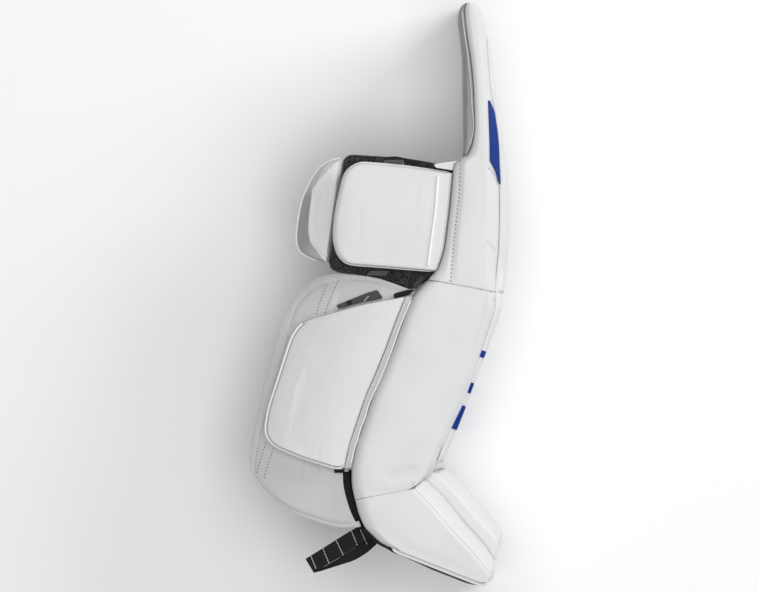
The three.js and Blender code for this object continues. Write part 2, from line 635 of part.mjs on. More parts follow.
// The ring of the blue insert, a thin leather laid on the inner side's bevel.
function insertRing(section) {
  const { ahead, ridge } = plan(section);
  const width = bevelWidth(section);
  const off = new THREE.Vector2(width, section.bevel).normalize();
  const { inner, outer } = insertEdges(section.up);
  const spot = (share, lift) =>
    at(ridge, ahead, section.bevel * share + off.x * lift, PAD_WIDTH - width * share + off.y * lift);
  const low = SEAM_GAP * 2;
  return [spot(inner, low), spot(outer, low), spot(outer, low + LEATHER), spot(inner, low + LEATHER)];
}

// The blue leather: an insert on the thigh's bevel and the bars across the shin.
function makeBlueLeather() {
  const rows = INSERT_ROWS.map((row) => sectionAt(row.up * PAD_HEIGHT));
  const [first, last] = [rows[0], rows.at(-1)];
  const inside = sectionsBetween(first.up, last.up).slice(1, -1);
  const sections = [...rows, ...inside].sort((a, b) => b.up - a.up);
  addPiece("blue_thigh_insert", loft(sections.map(insertRing)), BLUE_LEATHER);
  for (const bar of BLUE_BARS) addPiece(bar.name, bodyStretch(bar.top, bar.end, barRing), BLUE_LEATHER);
}

// The knee block on its mesh pad, with its gusset and elastic tabs.
function makeKnee(coverOutline) {
  const blockLevel = PAD_WIDTH - KNEE_STEP - KNEE_BLOCK_DEPTH;
  const coverTop = blockLevel - SEAM_GAP;
  const coverLevel = coverTop - KNEE_COVER_DEPTH;
  const flat = (level) => () => level;
  const block = outline([...kneeEdge(KNEE_BLOCK_EDGE), ...KNEE_BLOCK_CORNERS.map(kneeCorner)]);
  addPiece("knee_block", cushion(block, BLOCK_LAYERS, KNEE_BLOCK_DEPTH, flat(blockLevel)), WHITE_LEATHER);
  const cover = cushion(coverOutline, FLAT_LAYERS, KNEE_COVER_DEPTH, flat(coverLevel));
  addPiece("knee_block_cover", cover, DARK_MESH);
  const gusset = outline([...kneeEdge(KNEE_GUSSET_EDGE), ...KNEE_GUSSET_CORNERS.map(kneeCorner)]);
  const gussetLevel = PAD_WIDTH - REAR_ROUND - HINGE_THICKNESS;
  addPiece("knee_gusset", cushion(gusset, FLAT_LAYERS, HINGE_THICKNESS, flat(gussetLevel)), WHITE_LEATHER);
  for (const tab of KNEE_TABS) {
    const corners = [
      { out: tab.near, up: tab.low, round: 0.1 },
      { out: tab.near, up: tab.high, round: 0.1 },
      { out: tab.far, up: tab.high, round: 0.1 },
      { out: tab.far, up: tab.low, round: 0.1 },
    ];
    const shape = outline(corners.map(kneeCorner));
    addPiece(tab.name, cushion(shape, FLAT_LAYERS, TAB_THICKNESS, flat(blockLevel)), DARK_ELASTIC);
  }
}

// Sharp corners up the free edge of the mesh pad, a seam behind it, between two heights.
function hugCover(coverOutline, low, high) {
  const onEdge = coverOutline.filter((p) => p.x < leastCrossing(coverOutline, p.y) + SEAM_GAP);
  const bends = onEdge.map((p) => p.y).filter((y) => y > low && y < high);
  const behind = (y) => new THREE.Vector2(leastCrossing(coverOutline, y) - SEAM_GAP, y);
  return [low, ...bends.sort((a, b) => a - b), high].map((y) => ({ point: behind(y), round: 0 }));
}

// The moulded wing, which turns down behind the knee from the mesh pad's free edge.
function makeWing(coverOutline) {
  const base = KNEE_FOOT + WING_RAISE;
  const height = KNEE_BLOCK_HEIGHT - WING_TRIM;
  const free = WING_CORNERS.map((row) => {
    const y = base + row.up * height;
    return {
      point: new THREE.Vector2(leastCrossing(coverOutline, y) - SEAM_GAP - row.out * WING_WIDTH, y),
      round: row.round,
    };
  });
  const shape = outline([...hugCover(coverOutline, base, base + height), ...free]);
  const turn = Math.tan(THREE.MathUtils.degToRad(WING_TURN));
  const root = leastCrossing(coverOutline, base);
  const level = PAD_WIDTH - KNEE_STEP - KNEE_BLOCK_DEPTH - WING_DEPTH;
  const floorAt = (x) => level - turn * (root - x);
  addPiece("knee_wing", cushion(shape, WING_LAYERS, WING_DEPTH, floorAt), WHITE_LEATHER);
}

// The calf wrap, its landing and hinge, and the strap ends that lie on it.
function makeCalf() {
  const hem = KNEE_COVER_HEM.map(kneeCorner).reverse();
  hem.forEach(({ point }) => point.setY(point.y - SEAM_GAP * 2));
  const foot = hugEdge(WRAP_FOOT_EDGE, WRAP_FRAME, LINER_LIP);
  const root = hugEdge(WRAP_EDGE, WRAP_FRAME, SEAM_GAP * 2);
  const wrap = outline([...foot, ...root, ...hem, ...WRAP_CORNERS.map(wrapCorner)]);
  addPiece("calf_wrap", cushion(wrap, WRAP_LAYERS, WRAP_THICKNESS, wrapFloor), WHITE_LEATHER);
  const inner = hugEdge(LANDING_EDGE, LANDING_FRAME, HINGE_WIDTH);
  const landing = outline([...inner, ...LANDING_CORNERS.map(landingCorner)]);
  addPiece("calf_landing", cushion(landing, LANDING_LAYERS, LANDING_DEPTH, overWrap), WHITE_LEATHER);
  const loose = [
    { name: "calf_strap_end", corners: STRAP_END_CORNERS, finish: DARK_ELASTIC },
    { name: "calf_strap_hook", corners: STRAP_HOOK_CORNERS, finish: BLACK_WEBBING },
    { name: "landing_tab", corners: LANDING_TAB_CORNERS, finish: BLACK_WEBBING },
  ];
  for (const { name, corners, finish } of loose) {
    const shape = outline(corners.map(landingCorner));
    addPiece(name, cushion(shape, FLAT_LAYERS, STRAP_END_THICKNESS, overWrap), finish);
  }
  makeHinge();
}

// The strip that hinges the landing on the body's rear edge.
function makeHinge() {
  const level = PAD_WIDTH - WRAP_DROP + WRAP_THICKNESS + LANDING_DEPTH / 2;
  const rings = hugEdge(LANDING_EDGE, LANDING_FRAME, SEAM_GAP * 2).map(({ point }) => {
    const near = point.x;
    const far = point.x - HINGE_WIDTH + SEAM_GAP * 4;
    return [
      new THREE.Vector3(near, point.y, level),
      new THREE.Vector3(far, point.y, level),
      new THREE.Vector3(far, point.y, level + HINGE_THICKNESS),
      new THREE.Vector3(near, point.y, level + HINGE_THICKNESS),
    ];
  });
  addPiece("calf_hinge", loft(rings), GREY_STRIP);
}

// The bound edge that runs down the boot's rear edge and along its end, on the inner side.
function makeBinding() {
  const clear = BINDING_RADIUS + SEAM_GAP * 2;
  const level = PAD_WIDTH - REAR_ROUND - BINDING_RADIUS;
  const { rear, ridge } = plan(SECTIONS.at(-1));
  const edge = [...REAR_EDGE.slice(-4, -1), rear, rear.clone().lerp(ridge, 0.5), ridge];
  const route = edge.map((p, i) => {
    const before = edge[Math.max(i - 1, 0)];
    const after = edge[Math.min(i + 1, edge.length - 1)];
    const way = after.clone().sub(before).normalize();
    return at(p, new THREE.Vector2(way.y, -way.x), clear, level);
  });
  const curve = new THREE.CatmullRomCurve3(route, false, "centripetal");
  const section = new THREE.Shape().absarc(0, 0, BINDING_RADIUS, 0, Math.PI * 2, false);
  const geometry = new THREE.ExtrudeGeometry(section, { steps: 20, curveSegments: 4, extrudePath: curve });
  addPiece("boot_edge_binding", geometry, BLACK_WEBBING);
}

// The liner of the boot's channel and the webbing loop that comes out of it.
function makeBootInside() {
  addPiece("boot_liner", bodyStretch(LINER_TOP, TOE_END, linerRing), BLACK_WEBBING);
  const section = sectionAt(STRAP_ROOT * PAD_HEIGHT);
  const { rear, inward } = plan(section);
  const root = rear.clone().addScaledVector(inward, section.channel - LINER_THICKNESS - SEAM_GAP * 3);
  const angle = THREE.MathUtils.degToRad(180 + STRAP_ANGLE);
  const along = new THREE.Vector2(Math.cos(angle), Math.sin(angle));
  const across = new THREE.Vector2(-along.y, along.x);
  const strapLevel = PAD_WIDTH - ROLL_WIDTH - STRAP_DROP;
  const route = STRAP_ROWS.map((row) => {
    const spot = root.clone().addScaledVector(along, row.reach * STRAP_REACH);
    return at(spot, across, -row.sway * WEBBING_WIDTH, strapLevel - row.level * STRAP_LOOP);
  });
  const rings = route.map((p, i) => {
    const before = route[Math.max(i - 1, 0)];
    const after = route[Math.min(i + 1, route.length - 1)];
    const tangent = after.clone().sub(before).normalize();
    const side = new THREE.Vector3(across.x, across.y, 0);
    const up = tangent.clone().cross(side).normalize();
    const halfWide = side.multiplyScalar(WEBBING_WIDTH / 2);
    const halfThick = up.multiplyScalar(WEBBING_THICKNESS / 2);
    const corner = (s, u) => p.clone().addScaledVector(halfWide, s).addScaledVector(halfThick, u);
    return [corner(-1, -1), corner(1, -1), corner(1, 1), corner(-1, 1)];
  });
  addPiece("boot_strap", loft(rings), BLACK_WEBBING);
}

const coverOutline = outline([
  ...kneeEdge(KNEE_COVER_EDGE),
  ...[...KNEE_COVER_CORNERS, ...KNEE_COVER_HEM].map(kneeCorner),
]);
makeBody();
makeBlueLeather();
makeKnee(coverOutline);
makeWing(coverOutline);
makeCalf();
makeBinding();
makeBootInside();

const box = new THREE.Box3().setFromObject(pad);
const centre = box.getCenter(new THREE.Vector3());
pad.position.set(-centre.x, -centre.y, -box.min.z);

export default pad;
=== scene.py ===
"""A hockey goalie's leg pad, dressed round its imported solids: leather, mesh, webbing, seams and stitches."""

import logging
import math
from collections.abc import Callable, Iterator, Sequence
from contextlib import contextmanager
from dataclasses import dataclass, field, replace
from enum import Enum

import bmesh
import bpy
import numpy as np
from mathutils import Matrix, Vector
from mathutils.bvhtree import BVHTree
from mathutils.kdtree import KDTree


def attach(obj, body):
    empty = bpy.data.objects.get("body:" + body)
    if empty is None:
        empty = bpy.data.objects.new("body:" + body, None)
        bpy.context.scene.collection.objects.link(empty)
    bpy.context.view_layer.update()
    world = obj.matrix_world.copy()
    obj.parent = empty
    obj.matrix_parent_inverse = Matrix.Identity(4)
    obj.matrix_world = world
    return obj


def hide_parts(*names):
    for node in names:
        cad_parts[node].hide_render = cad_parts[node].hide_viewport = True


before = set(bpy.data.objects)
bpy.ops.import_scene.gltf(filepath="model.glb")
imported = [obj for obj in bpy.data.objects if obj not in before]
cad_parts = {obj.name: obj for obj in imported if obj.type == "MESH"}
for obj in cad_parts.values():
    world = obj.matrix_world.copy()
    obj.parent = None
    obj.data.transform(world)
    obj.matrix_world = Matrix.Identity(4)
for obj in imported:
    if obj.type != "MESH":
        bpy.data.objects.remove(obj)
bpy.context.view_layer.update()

log = logging.getLogger("goalie_pad")

MM = 0.001
Colour = tuple[float, float, float]
Offset = tuple[float, float, float]
Route = Sequence[tuple[float, float]]
Slope = tuple[float, float]
Span = tuple[float, float]
Piece = bpy.types.Object

PAD_WIDTH = 279 * MM
ROLL_WIDTH = 55 * MM
LEVEL: Slope = (0.0, 0.0)


class Slot(Enum):
    """The record's material slots."""

    WHITE_LEATHER = "white_leather"
    BACK_LEATHER = "back_leather"
    BLUE_LEATHER = "blue_leather"
    DARK_MESH = "dark_mesh"
    DARK_ELASTIC = "dark_elastic"
    BLACK_WEBBING = "black_webbing"
    GREY_STRIP = "grey_strip"


class Wire:
    """An output of a shader node. Arithmetic on it adds Math nodes to its tree."""

    def __init__(self, tree: "Tree", socket: bpy.types.NodeSocket) -> None:
        """Wraps one output of a tree's node."""
        self.tree = tree
        self.socket = socket

    def math(self, operation: str, *others: "Wire | float") -> "Wire":
        """Puts this value first into a Math node.

        Args:
            operation: The Math node's operation.
            others: The values of its other sockets.

        Returns:
            The node's result.
        """
        inputs = dict(enumerate((self, *others)))
        return self.tree.node("ShaderNodeMath", {"operation": operation}, inputs)

    def __add__(self, other: "Wire | float") -> "Wire":
        """self + other."""
        return self.math("ADD", other)

    def __mul__(self, other: "Wire | float") -> "Wire":
        """self * other."""
        return self.math("MULTIPLY", other)

    __radd__ = __add__
    __rmul__ = __mul__

    def between(self, low: float, high: float) -> "Wire":
        """Rises smoothly from 0 at low to 1 at high."""
        settings = {"interpolation_type": "SMOOTHSTEP"}
        inputs = {"Value": self, "From Min": low, "From Max": high}
        return self.tree.node("ShaderNodeMapRange", settings, inputs)


class Tree:
    """A material's node tree."""

    def __init__(self, name: str) -> None:
        """Makes an empty material with a Principled shader on its output."""
        self.material = bpy.data.materials.new(name)
        self.material.use_nodes = True
        self.nodes = self.material.node_tree.nodes
        self.links = self.material.node_tree.links
        self.nodes.clear()
        self.shader = self.nodes.new("ShaderNodeBsdfPrincipled")
        output = self.nodes.new("ShaderNodeOutputMaterial")
        self.links.new(self.shader.outputs["BSDF"], output.inputs["Surface"])

    def node(
        self,
        kind: str,
        settings: dict[str, object] | None = None,
        inputs: dict[str | int, object] | None = None,
        output: str | int = 0,
    ) -> Wire:
        """Adds any node.

        Args:
            kind: The node's type.
            settings: Its properties, set before its sockets.
            inputs: Values or wires for its sockets.
            output: Which output is returned.

        Returns:
            That output.
        """
        made = self.nodes.new(kind)
        for key, value in (settings or {}).items():
            setattr(made, key, value)
        for key, value in (inputs or {}).items():
            self.set(made.inputs[key], value)
        return Wire(self, made.outputs[output])

    def set(self, socket: bpy.types.NodeSocket, value: object) -> None:
        """Links a wire to a socket, or sets the socket's own value."""
        if isinstance(value, Wire):
            self.links.new(value.socket, socket)
        elif isinstance(value, tuple) and len(value) == 3 and socket.type == "RGBA":
            socket.default_value = (*value, 1.0)
        else:
            socket.default_value = value

    def shade(self, **sockets: object) -> bpy.types.Material:
        """Sets the shader's sockets, underscores standing for spaces, and returns the material."""
        for key, value in sockets.items():
            self.set(self.shader.inputs[key.replace("_", " ")], value)
        return self.material

    def place(self) -> Wire:
        """The point in the pad's own frame, in metres."""
        return self.node("ShaderNodeTexCoord", output="Object")

    def turned(self, place: Wire, angle: float) -> Wire:
        """A place turned about the pad's Z axis by an angle in degrees."""
        inputs = {"Vector": place, "Rotation": (0.0, 0.0, math.radians(angle))}
        return self.node("ShaderNodeMapping", None, inputs)

    def axis(self, place: Wire, index: int) -> Wire:
        """One coordinate of a place."""
        return self.node("ShaderNodeSeparateXYZ", None, {0: place}, output=index)

    def noise(self, place: Wire, size: float, detail: float = 2.0) -> Wire:
        """Soft noise from 0 to 1 with features of a size in metres."""
        return self.node("ShaderNodeTexNoise", None, {"Vector": place, "Scale": 1 / size, "Detail": detail})

    def cells(self, place: Wire, size: float) -> Wire:
        """How far a point is from its cell's middle, with cells of a size in metres."""
        return self.node("ShaderNodeTexVoronoi", None, {"Vector": place, "Scale": 1 / size})

    def tint(self, mask: Wire, low: Colour | Wire, high: Colour | Wire) -> Wire:
        """Goes from one colour to another as the mask goes from 0 to 1."""
        settings = {"data_type": "RGBA"}
        return self.node("ShaderNodeMix", settings, {"Factor": mask, 6: low, 7: high}, output=2)

    def attribute(self, name: str) -> Wire:
        """A number that the mesh carries."""
        return self.node("ShaderNodeAttribute", {"attribute_name": name}, output="Fac")

    def bump(self, height: Wire, depth: float, under: Wire | None = None) -> Wire:
        """A bumped normal.

        Args:
            height: The relief from 0 to 1.
            depth: The relief's real depth in metres.
            under: A normal that is bumped already.

        Returns:
            The normal.
        """
        inputs: dict[str | int, object] = {"Strength": 1.0, "Distance": depth, "Height": height}
        if under is not None:
            inputs["Normal"] = under
        return self.node("ShaderNodeBump", None, inputs)


@dataclass(frozen=True)
class Leather:
    """Coated synthetic leather: pebbled grain, soft creases and a little unevenness of tone."""

    name: str
    colour: Colour
    slot: Slot = Slot.WHITE_LEATHER
    roughness: float = 0.42
    grain: float = 1.3 * MM
    grain_depth: float = 0.05 * MM
    crease_depth: float = 0.2 * MM
    uneven: float = 0.015
    gloss: float = 0.4
    # painted shade: the colour that faces marked edge, the knee wing's outer bevel, turn towards
    edge: Colour = (0.3, 0.303, 0.31)
    lining: Colour = (0.012, 0.012, 0.014)

    def material(self) -> bpy.types.Material:
        """The finish as a material. Faces marked edge get painted shade, greyer by the mark's value, and those
        marked lining are dark cloth.
        """
        tree = Tree(self.name)
        place = tree.place()
        pebble = tree.cells(place, self.grain)
        drift = tree.noise(place, 60 * MM, 3.0)
        crease = tree.noise(place, 9 * MM, 4.0)
        lining = tree.attribute("lining")
        shade = tuple(c * (1 - self.uneven * 2) for c in self.colour)
        skin = tree.tint(drift.between(0.35, 0.75), self.colour, shade)
        # painted shade on the faces marked edge
        skin = tree.tint(tree.attribute("edge"), skin, self.edge)
        weave = tree.cells(place, 1.6 * MM)
        cloth = tree.tint(weave, self.lining, tuple(c * 2.2 for c in self.lining))
        rough = drift * 0.1 + crease * 0.08 + (self.roughness - 0.09)
        relief = tree.bump(crease, self.crease_depth)
        relief = tree.bump(pebble, self.grain_depth, relief)
        return tree.shade(
            Base_Color=tree.tint(lining, skin, cloth),
            Roughness=rough + lining * 0.4,
            Normal=relief,
            Specular_IOR_Level=self.gloss,
        )


@dataclass(frozen=True)
class MeshCloth:
    """Padded spacer mesh: a lattice of small holes over a dark ground."""

    name: str
    ground: Colour
    yarn: Colour
    slot: Slot
    pitch: float = 2.4 * MM
    depth: float = 0.5 * MM
    turn: float = 4.0

    def material(self) -> bpy.types.Material:
        """The finish as a material."""
        tree = Tree(self.name)
        place = tree.turned(tree.place(), self.turn)
        holes = tree.cells(place, self.pitch).between(0.25, 0.6)
        drift = tree.noise(place, 25 * MM, 3.0)
        yarn = tree.tint(drift.between(0.3, 0.7), self.yarn, tuple(c * 0.6 for c in self.yarn))
        return tree.shade(
            Base_Color=tree.tint(holes, self.ground, yarn),
            Roughness=drift * 0.2 + 0.65,
            Normal=tree.bump(holes, self.depth),
            Specular_IOR_Level=0.2,
        )


@dataclass(frozen=True)
class Webbing:
    """Woven tape: ribs across its length and a herringbone of fine yarns."""

    name: str
    yarn: Colour
    turn: float
    slot: Slot = Slot.BLACK_WEBBING
    rib: float = 1.7 * MM
    depth: float = 0.35 * MM
    roughness: float = 0.72
    pale: Colour | None = None
    pale_from: float = 0.0

    def material(self) -> bpy.types.Material:
        """The finish as a material. Its ribs run across the turn, and it may turn pale past an X."""
        tree = Tree(self.name)
        place = tree.turned(tree.place(), self.turn)
        along = tree.axis(place, 0)
        across = tree.axis(place, 1)
        ribs = (along * (math.tau / self.rib)).math("SINE") * 0.5 + 0.5
        yarns = (across * (math.tau / (self.rib * 1.3))).math("SINE") * 0.5 + 0.5
        weave = ribs * 0.65 + yarns * 0.35
        drift = tree.noise(place, 14 * MM, 4.0)
        dark = tuple(c * 0.45 for c in self.yarn)
        colour = tree.tint(weave * 0.6 + drift * 0.5, dark, self.yarn)
        if self.pale:
            reach = tree.axis(tree.place(), 0).between(self.pale_from, self.pale_from + 6 * MM)
            colour = tree.tint(reach, colour, self.pale)
        return tree.shade(
            Base_Color=colour,
            Roughness=drift * 0.15 + (self.roughness - 0.08),
            Normal=tree.bump(weave, self.depth),
            Specular_IOR_Level=0.25,
        )


@dataclass(frozen=True)
class Thread:
    """Twisted sewing thread."""

    name: str
    colour: Colour
    slot: Slot

    def material(self) -> bpy.types.Material:
        """The finish as a material."""
        tree = Tree(self.name)
        place = tree.place()
        twist = tree.cells(place, 0.5 * MM)
        dark = tuple(c * 0.75 for c in self.colour)
        return tree.shade(
            Base_Color=tree.tint(twist, self.colour, dark),
            Roughness=twist * 0.1 + 0.55,
            Normal=tree.bump(twist, 0.05 * MM),
        )


@dataclass(frozen=True)
class Floor:
    """Matt pale paper."""

    name: str = "studio_paper"
    colour: Colour = (0.94, 0.94, 0.94)

    def material(self) -> bpy.types.Material:
        """The finish as a material."""
        tree = Tree(self.name)
        fibre = tree.noise(tree.place(), 3 * MM, 3.0)
        soft = tuple(c * 0.985 for c in self.colour)
        return tree.shade(Base_Color=tree.tint(fibre, self.colour, soft), Roughness=fibre * 0.1 + 0.8)


Finish = Leather | MeshCloth | Webbing | Thread | Floor

WHITE = Leather("white_leather", (0.66, 0.663, 0.67))
# brighter than the white leather: partly the piping's own whiter colour, partly painted highlight on the
# rounded cords
WHITE_PIPING_AND_HIGHLIGHT = Leather("white_piping_and_painted_highlight", (0.9, 0.905, 0.915), grain=0.8 * MM, uneven=0.0)
SOFT_PIPING = Leather("soft_piping", (0.55, 0.555, 0.565), grain=0.8 * MM, uneven=0.0)
FOAM = Leather("wrap_leather", (0.56, 0.565, 0.575), roughness=0.5)
# the back panel's grey: partly its own grey, partly painted shade of the rear bevel that faces away from the
# light
GREY_AND_PAINTED_SHADE = Leather("grey_back_leather", (0.26, 0.264, 0.272), Slot.BACK_LEATHER, roughness=0.5)
BLUE = Leather("blue_leather", (0.002, 0.03, 0.22), Slot.BLUE_LEATHER, roughness=0.5, uneven=0.08, gloss=0.15)
# painted shade: the hinge strip's grey stands for the shadow in the valley between the landing and the body
PAINTED_SHADE_STRIP = Leather("grey_strip", (0.5, 0.505, 0.515), Slot.GREY_STRIP, roughness=0.45)
MESH = MeshCloth("dark_mesh", (0.002, 0.002, 0.0025), (0.05, 0.051, 0.055), Slot.DARK_MESH)
LINING = MeshCloth(
    "black_lining", (0.003, 0.003, 0.004), (0.016, 0.016, 0.018), Slot.BLACK_WEBBING, pitch=1.5 * MM
)
ELASTIC = Webbing("dark_elastic", (0.13, 0.132, 0.14), 6.0, Slot.DARK_ELASTIC, rib=1.1 * MM)
STRAP_CLOTH = Webbing("dark_strap_cloth", (0.09, 0.092, 0.098), -21.0, Slot.DARK_ELASTIC, rib=1.4 * MM)
BLACK = Webbing("black_webbing", (0.014, 0.014, 0.017), -31.0)
BINDING = Webbing(
    "boot_binding", (0.014, 0.014, 0.017), -23.0, pale=(0.07, 0.07, 0.073), pale_from=18 * MM
)
WHITE_THREAD = Thread("white_thread", (0.9, 0.9, 0.91), Slot.WHITE_LEATHER)
STRAP_THREAD = replace(WHITE_THREAD, slot=Slot.DARK_ELASTIC)
LOOP_THREAD = replace(WHITE_THREAD, slot=Slot.BLACK_WEBBING)
GREY_THREAD = Thread("grey_thread", (0.2, 0.2, 0.21), Slot.BACK_LEATHER)
LOOP_EDGE = replace(GREY_THREAD, slot=Slot.BLACK_WEBBING)


MATERIALS: dict[str, bpy.types.Material] = {}


def dress(piece: Piece, finish: Finish) -> None:
    """Gives a piece its only material, which is made once for each finish."""
    if finish.name not in MATERIALS:
        MATERIALS[finish.name] = finish.material()
    piece.data.materials.clear()
    piece.data.materials.append(MATERIALS[finish.name])


def finish_piece(piece: Piece, finish: Finish, *nodes: str) -> Piece:
    """Dresses a finished piece and hangs it on the pad.

    Args:
        piece: The piece.
        finish: Its finish, which knows the record's slot.
        nodes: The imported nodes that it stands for.

    Returns:
        The piece.
    """
    dress(piece, finish)
    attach(piece, "root")
    if nodes:
        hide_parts(*nodes)
    log.info("%s: %d faces", piece.name, len(piece.data.polygons))
    return piece


def pick(piece: Piece) -> None:
    """Selects one piece alone and makes it active."""
    bpy.ops.object.select_all(action="DESELECT")
    piece.select_set(True)
    bpy.context.view_layer.objects.active = piece


@contextmanager
def editing(piece: Piece, mode: str = "VERT") -> Iterator[None]:
    """Edit mode on one piece, with nothing selected in it.

    Args:
        piece: The piece to edit.
        mode: VERT, EDGE or FACE.

    Yields:
        Nothing, while edit mode lasts.
    """
    pick(piece)
    bpy.ops.object.mode_set(mode="EDIT")
    bpy.ops.mesh.select_mode(type=mode)
    bpy.ops.mesh.select_all(action="DESELECT")
    yield
    bpy.ops.object.mode_set(mode="OBJECT")


def modify(piece: Piece, kind: str, **settings: object) -> None:
    """Adds one modifier with its settings and applies it."""
    pick(piece)
    modifier = piece.modifiers.new(kind, kind)
    for key, value in settings.items():
        setattr(modifier, key, value)
    bpy.ops.object.modifier_apply(modifier=modifier.name)


def subdivide(piece: Piece, levels: int) -> None:
    """Smooths a piece by subdivision surfaces."""
    modify(piece, "SUBSURF", levels=levels, render_levels=levels)


def points_of(piece: Piece) -> np.ndarray:
    """A piece's points as rows of X, Y and Z."""
    flat = np.empty(len(piece.data.vertices) * 3)
    piece.data.vertices.foreach_get("co", flat)
    return flat.reshape(-1, 3)


def ends_of(piece: Piece) -> np.ndarray:
    """The places of each edge's two ends among a piece's points, one row an edge."""
    flat = np.empty(len(piece.data.edges) * 2, int)
    piece.data.edges.foreach_get("vertices", flat)
    return flat.reshape(-1, 2)


def set_points(piece: Piece, points: np.ndarray) -> None:
    """Moves a piece's points to new places."""
    piece.data.vertices.foreach_set("co", points.astype(np.float32).ravel())
    piece.data.update()


def normals_of(piece: Piece) -> np.ndarray:
    """The normals at a piece's points, one row each."""
    flat = np.empty(len(piece.data.vertices) * 3)
    piece.data.vertex_normals.foreach_get("vector", flat)
    return flat.reshape(-1, 3)


def smooth(piece: Piece, angle: float = 40.0) -> None:
    """Shades a piece smoothly, but for edges sharper than an angle in degrees."""
    pick(piece)
    bpy.ops.object.shade_smooth_by_angle(angle=math.radians(angle))


def shell(name: str, node: str) -> Piece:
    """Copies a solid's skin into a new piece and joins its loose triangles into quads.

    Args:
        name: The piece's name.
        node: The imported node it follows.

    Returns:
        The piece.
    """
    piece = bpy.data.objects.new(name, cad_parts[node].data.copy())
    bpy.context.scene.collection.objects.link(piece)
    piece.data.materials.clear()
    piece.data.name = name
    with editing(piece):
        bpy.ops.mesh.select_all(action="SELECT")
        bpy.ops.mesh.remove_doubles(threshold=0.01 * MM)
        bpy.ops.mesh.tris_convert_to_quads(
            face_threshold=math.radians(60), shape_threshold=math.radians(150), topology_influence=1.0
        )
        bpy.ops.mesh.customdata_custom_splitnormals_clear()
    return piece


def even_rings(piece: Piece, longest: float) -> None:
    """Cuts the rings of long edges until no edge is longer than a length in metres."""
    for _ in range(200):
        mesh = piece.data
        points = points_of(piece)
        first, second = ends_of(piece).T
        lengths = np.linalg.norm(points[first] - points[second], axis=1)
        worst = int(lengths.argmax())
        if lengths[worst] <= longest:
            return
        with editing(piece, "EDGE"):
            bpy.ops.object.mode_set(mode="OBJECT")
            mesh.edges[worst].select = True
            bpy.ops.object.mode_set(mode="EDIT")
            bpy.ops.mesh.loop_multi_select(ring=True)
            bpy.ops.mesh.subdivide(number_cuts=math.ceil(lengths[worst] / longest) - 1)


def crease(piece: Piece, sharp: float, ridge: float, fold: float) -> None:
    """Creases the ridges along the two side walls, and every other fold that is sharp enough.

    Args:
        piece: The piece, before it is subdivided.
        sharp: The least angle of the other folds, in degrees.
        ridge: The crease along the side walls' ridges.
        fold: The crease of the other folds.
    """
    kit = bmesh.new()
    kit.from_mesh(piece.data)
    layer = kit.edges.layers.float.new("crease_edge")
    for edge in kit.edges:
        if len(edge.link_faces) != 2:
            continue
        angle = math.degrees(edge.calc_face_angle(0.0))
        levels = [v.co.z for v in edge.verts]
        on_side = max(levels) < 0.5 * MM or min(levels) > PAD_WIDTH - 0.5 * MM
        if on_side and angle > 30:
            edge[layer] = ridge
        elif angle > sharp:
            edge[layer] = fold
    kit.to_mesh(piece.data)
    kit.free()


def outlines(piece: Piece, height: float, slope: Slope = LEVEL) -> list[Vector]:
    """Cuts a piece by a plane and gives its longest outline there.

    Args:
        piece: The piece.
        height: The plane's height over the origin, in metres.
        slope: How much the plane rises along X and along Y.

    Returns:
        The outline's points in order.
    """
    cut = bpy.data.objects.new("cut", piece.data.copy())
    bpy.context.scene.collection.objects.link(cut)
    with editing(cut):
        bpy.ops.mesh.select_all(action="SELECT")
        bpy.ops.mesh.bisect(
            plane_co=(0, 0, height),
            plane_no=(-slope[0], -slope[1], 1),
            use_fill=False,
            clear_inner=True,
            clear_outer=True,
        )
    neighbours: dict[int, list[int]] = {}
    for edge in cut.data.edges:
        first, second = edge.vertices
        neighbours.setdefault(first, []).append(second)
        neighbours.setdefault(second, []).append(first)
    spots = [v.co.copy() for v in cut.data.vertices]
    bpy.data.objects.remove(cut)
    longest: list[int] = []
    left = set(neighbours)
    while left:
        walk = [left.pop()]
        while True:
            ways = [n for n in neighbours[walk[-1]] if n in left]
            if not ways:
                break
            left.discard(ways[0])
            walk.append(ways[0])
        longest = max(longest, walk, key=len)
    return [spots[i] for i in longest]


def thinned(line: Sequence[Vector], gap: float) -> list[Vector]:
    """Leaves out the points of a line that are nearer than a gap to the one before."""
    kept = [line[0]]
    for point in line[1:]:
        if (point - kept[-1]).length >= gap:
            kept.append(point)
    return kept


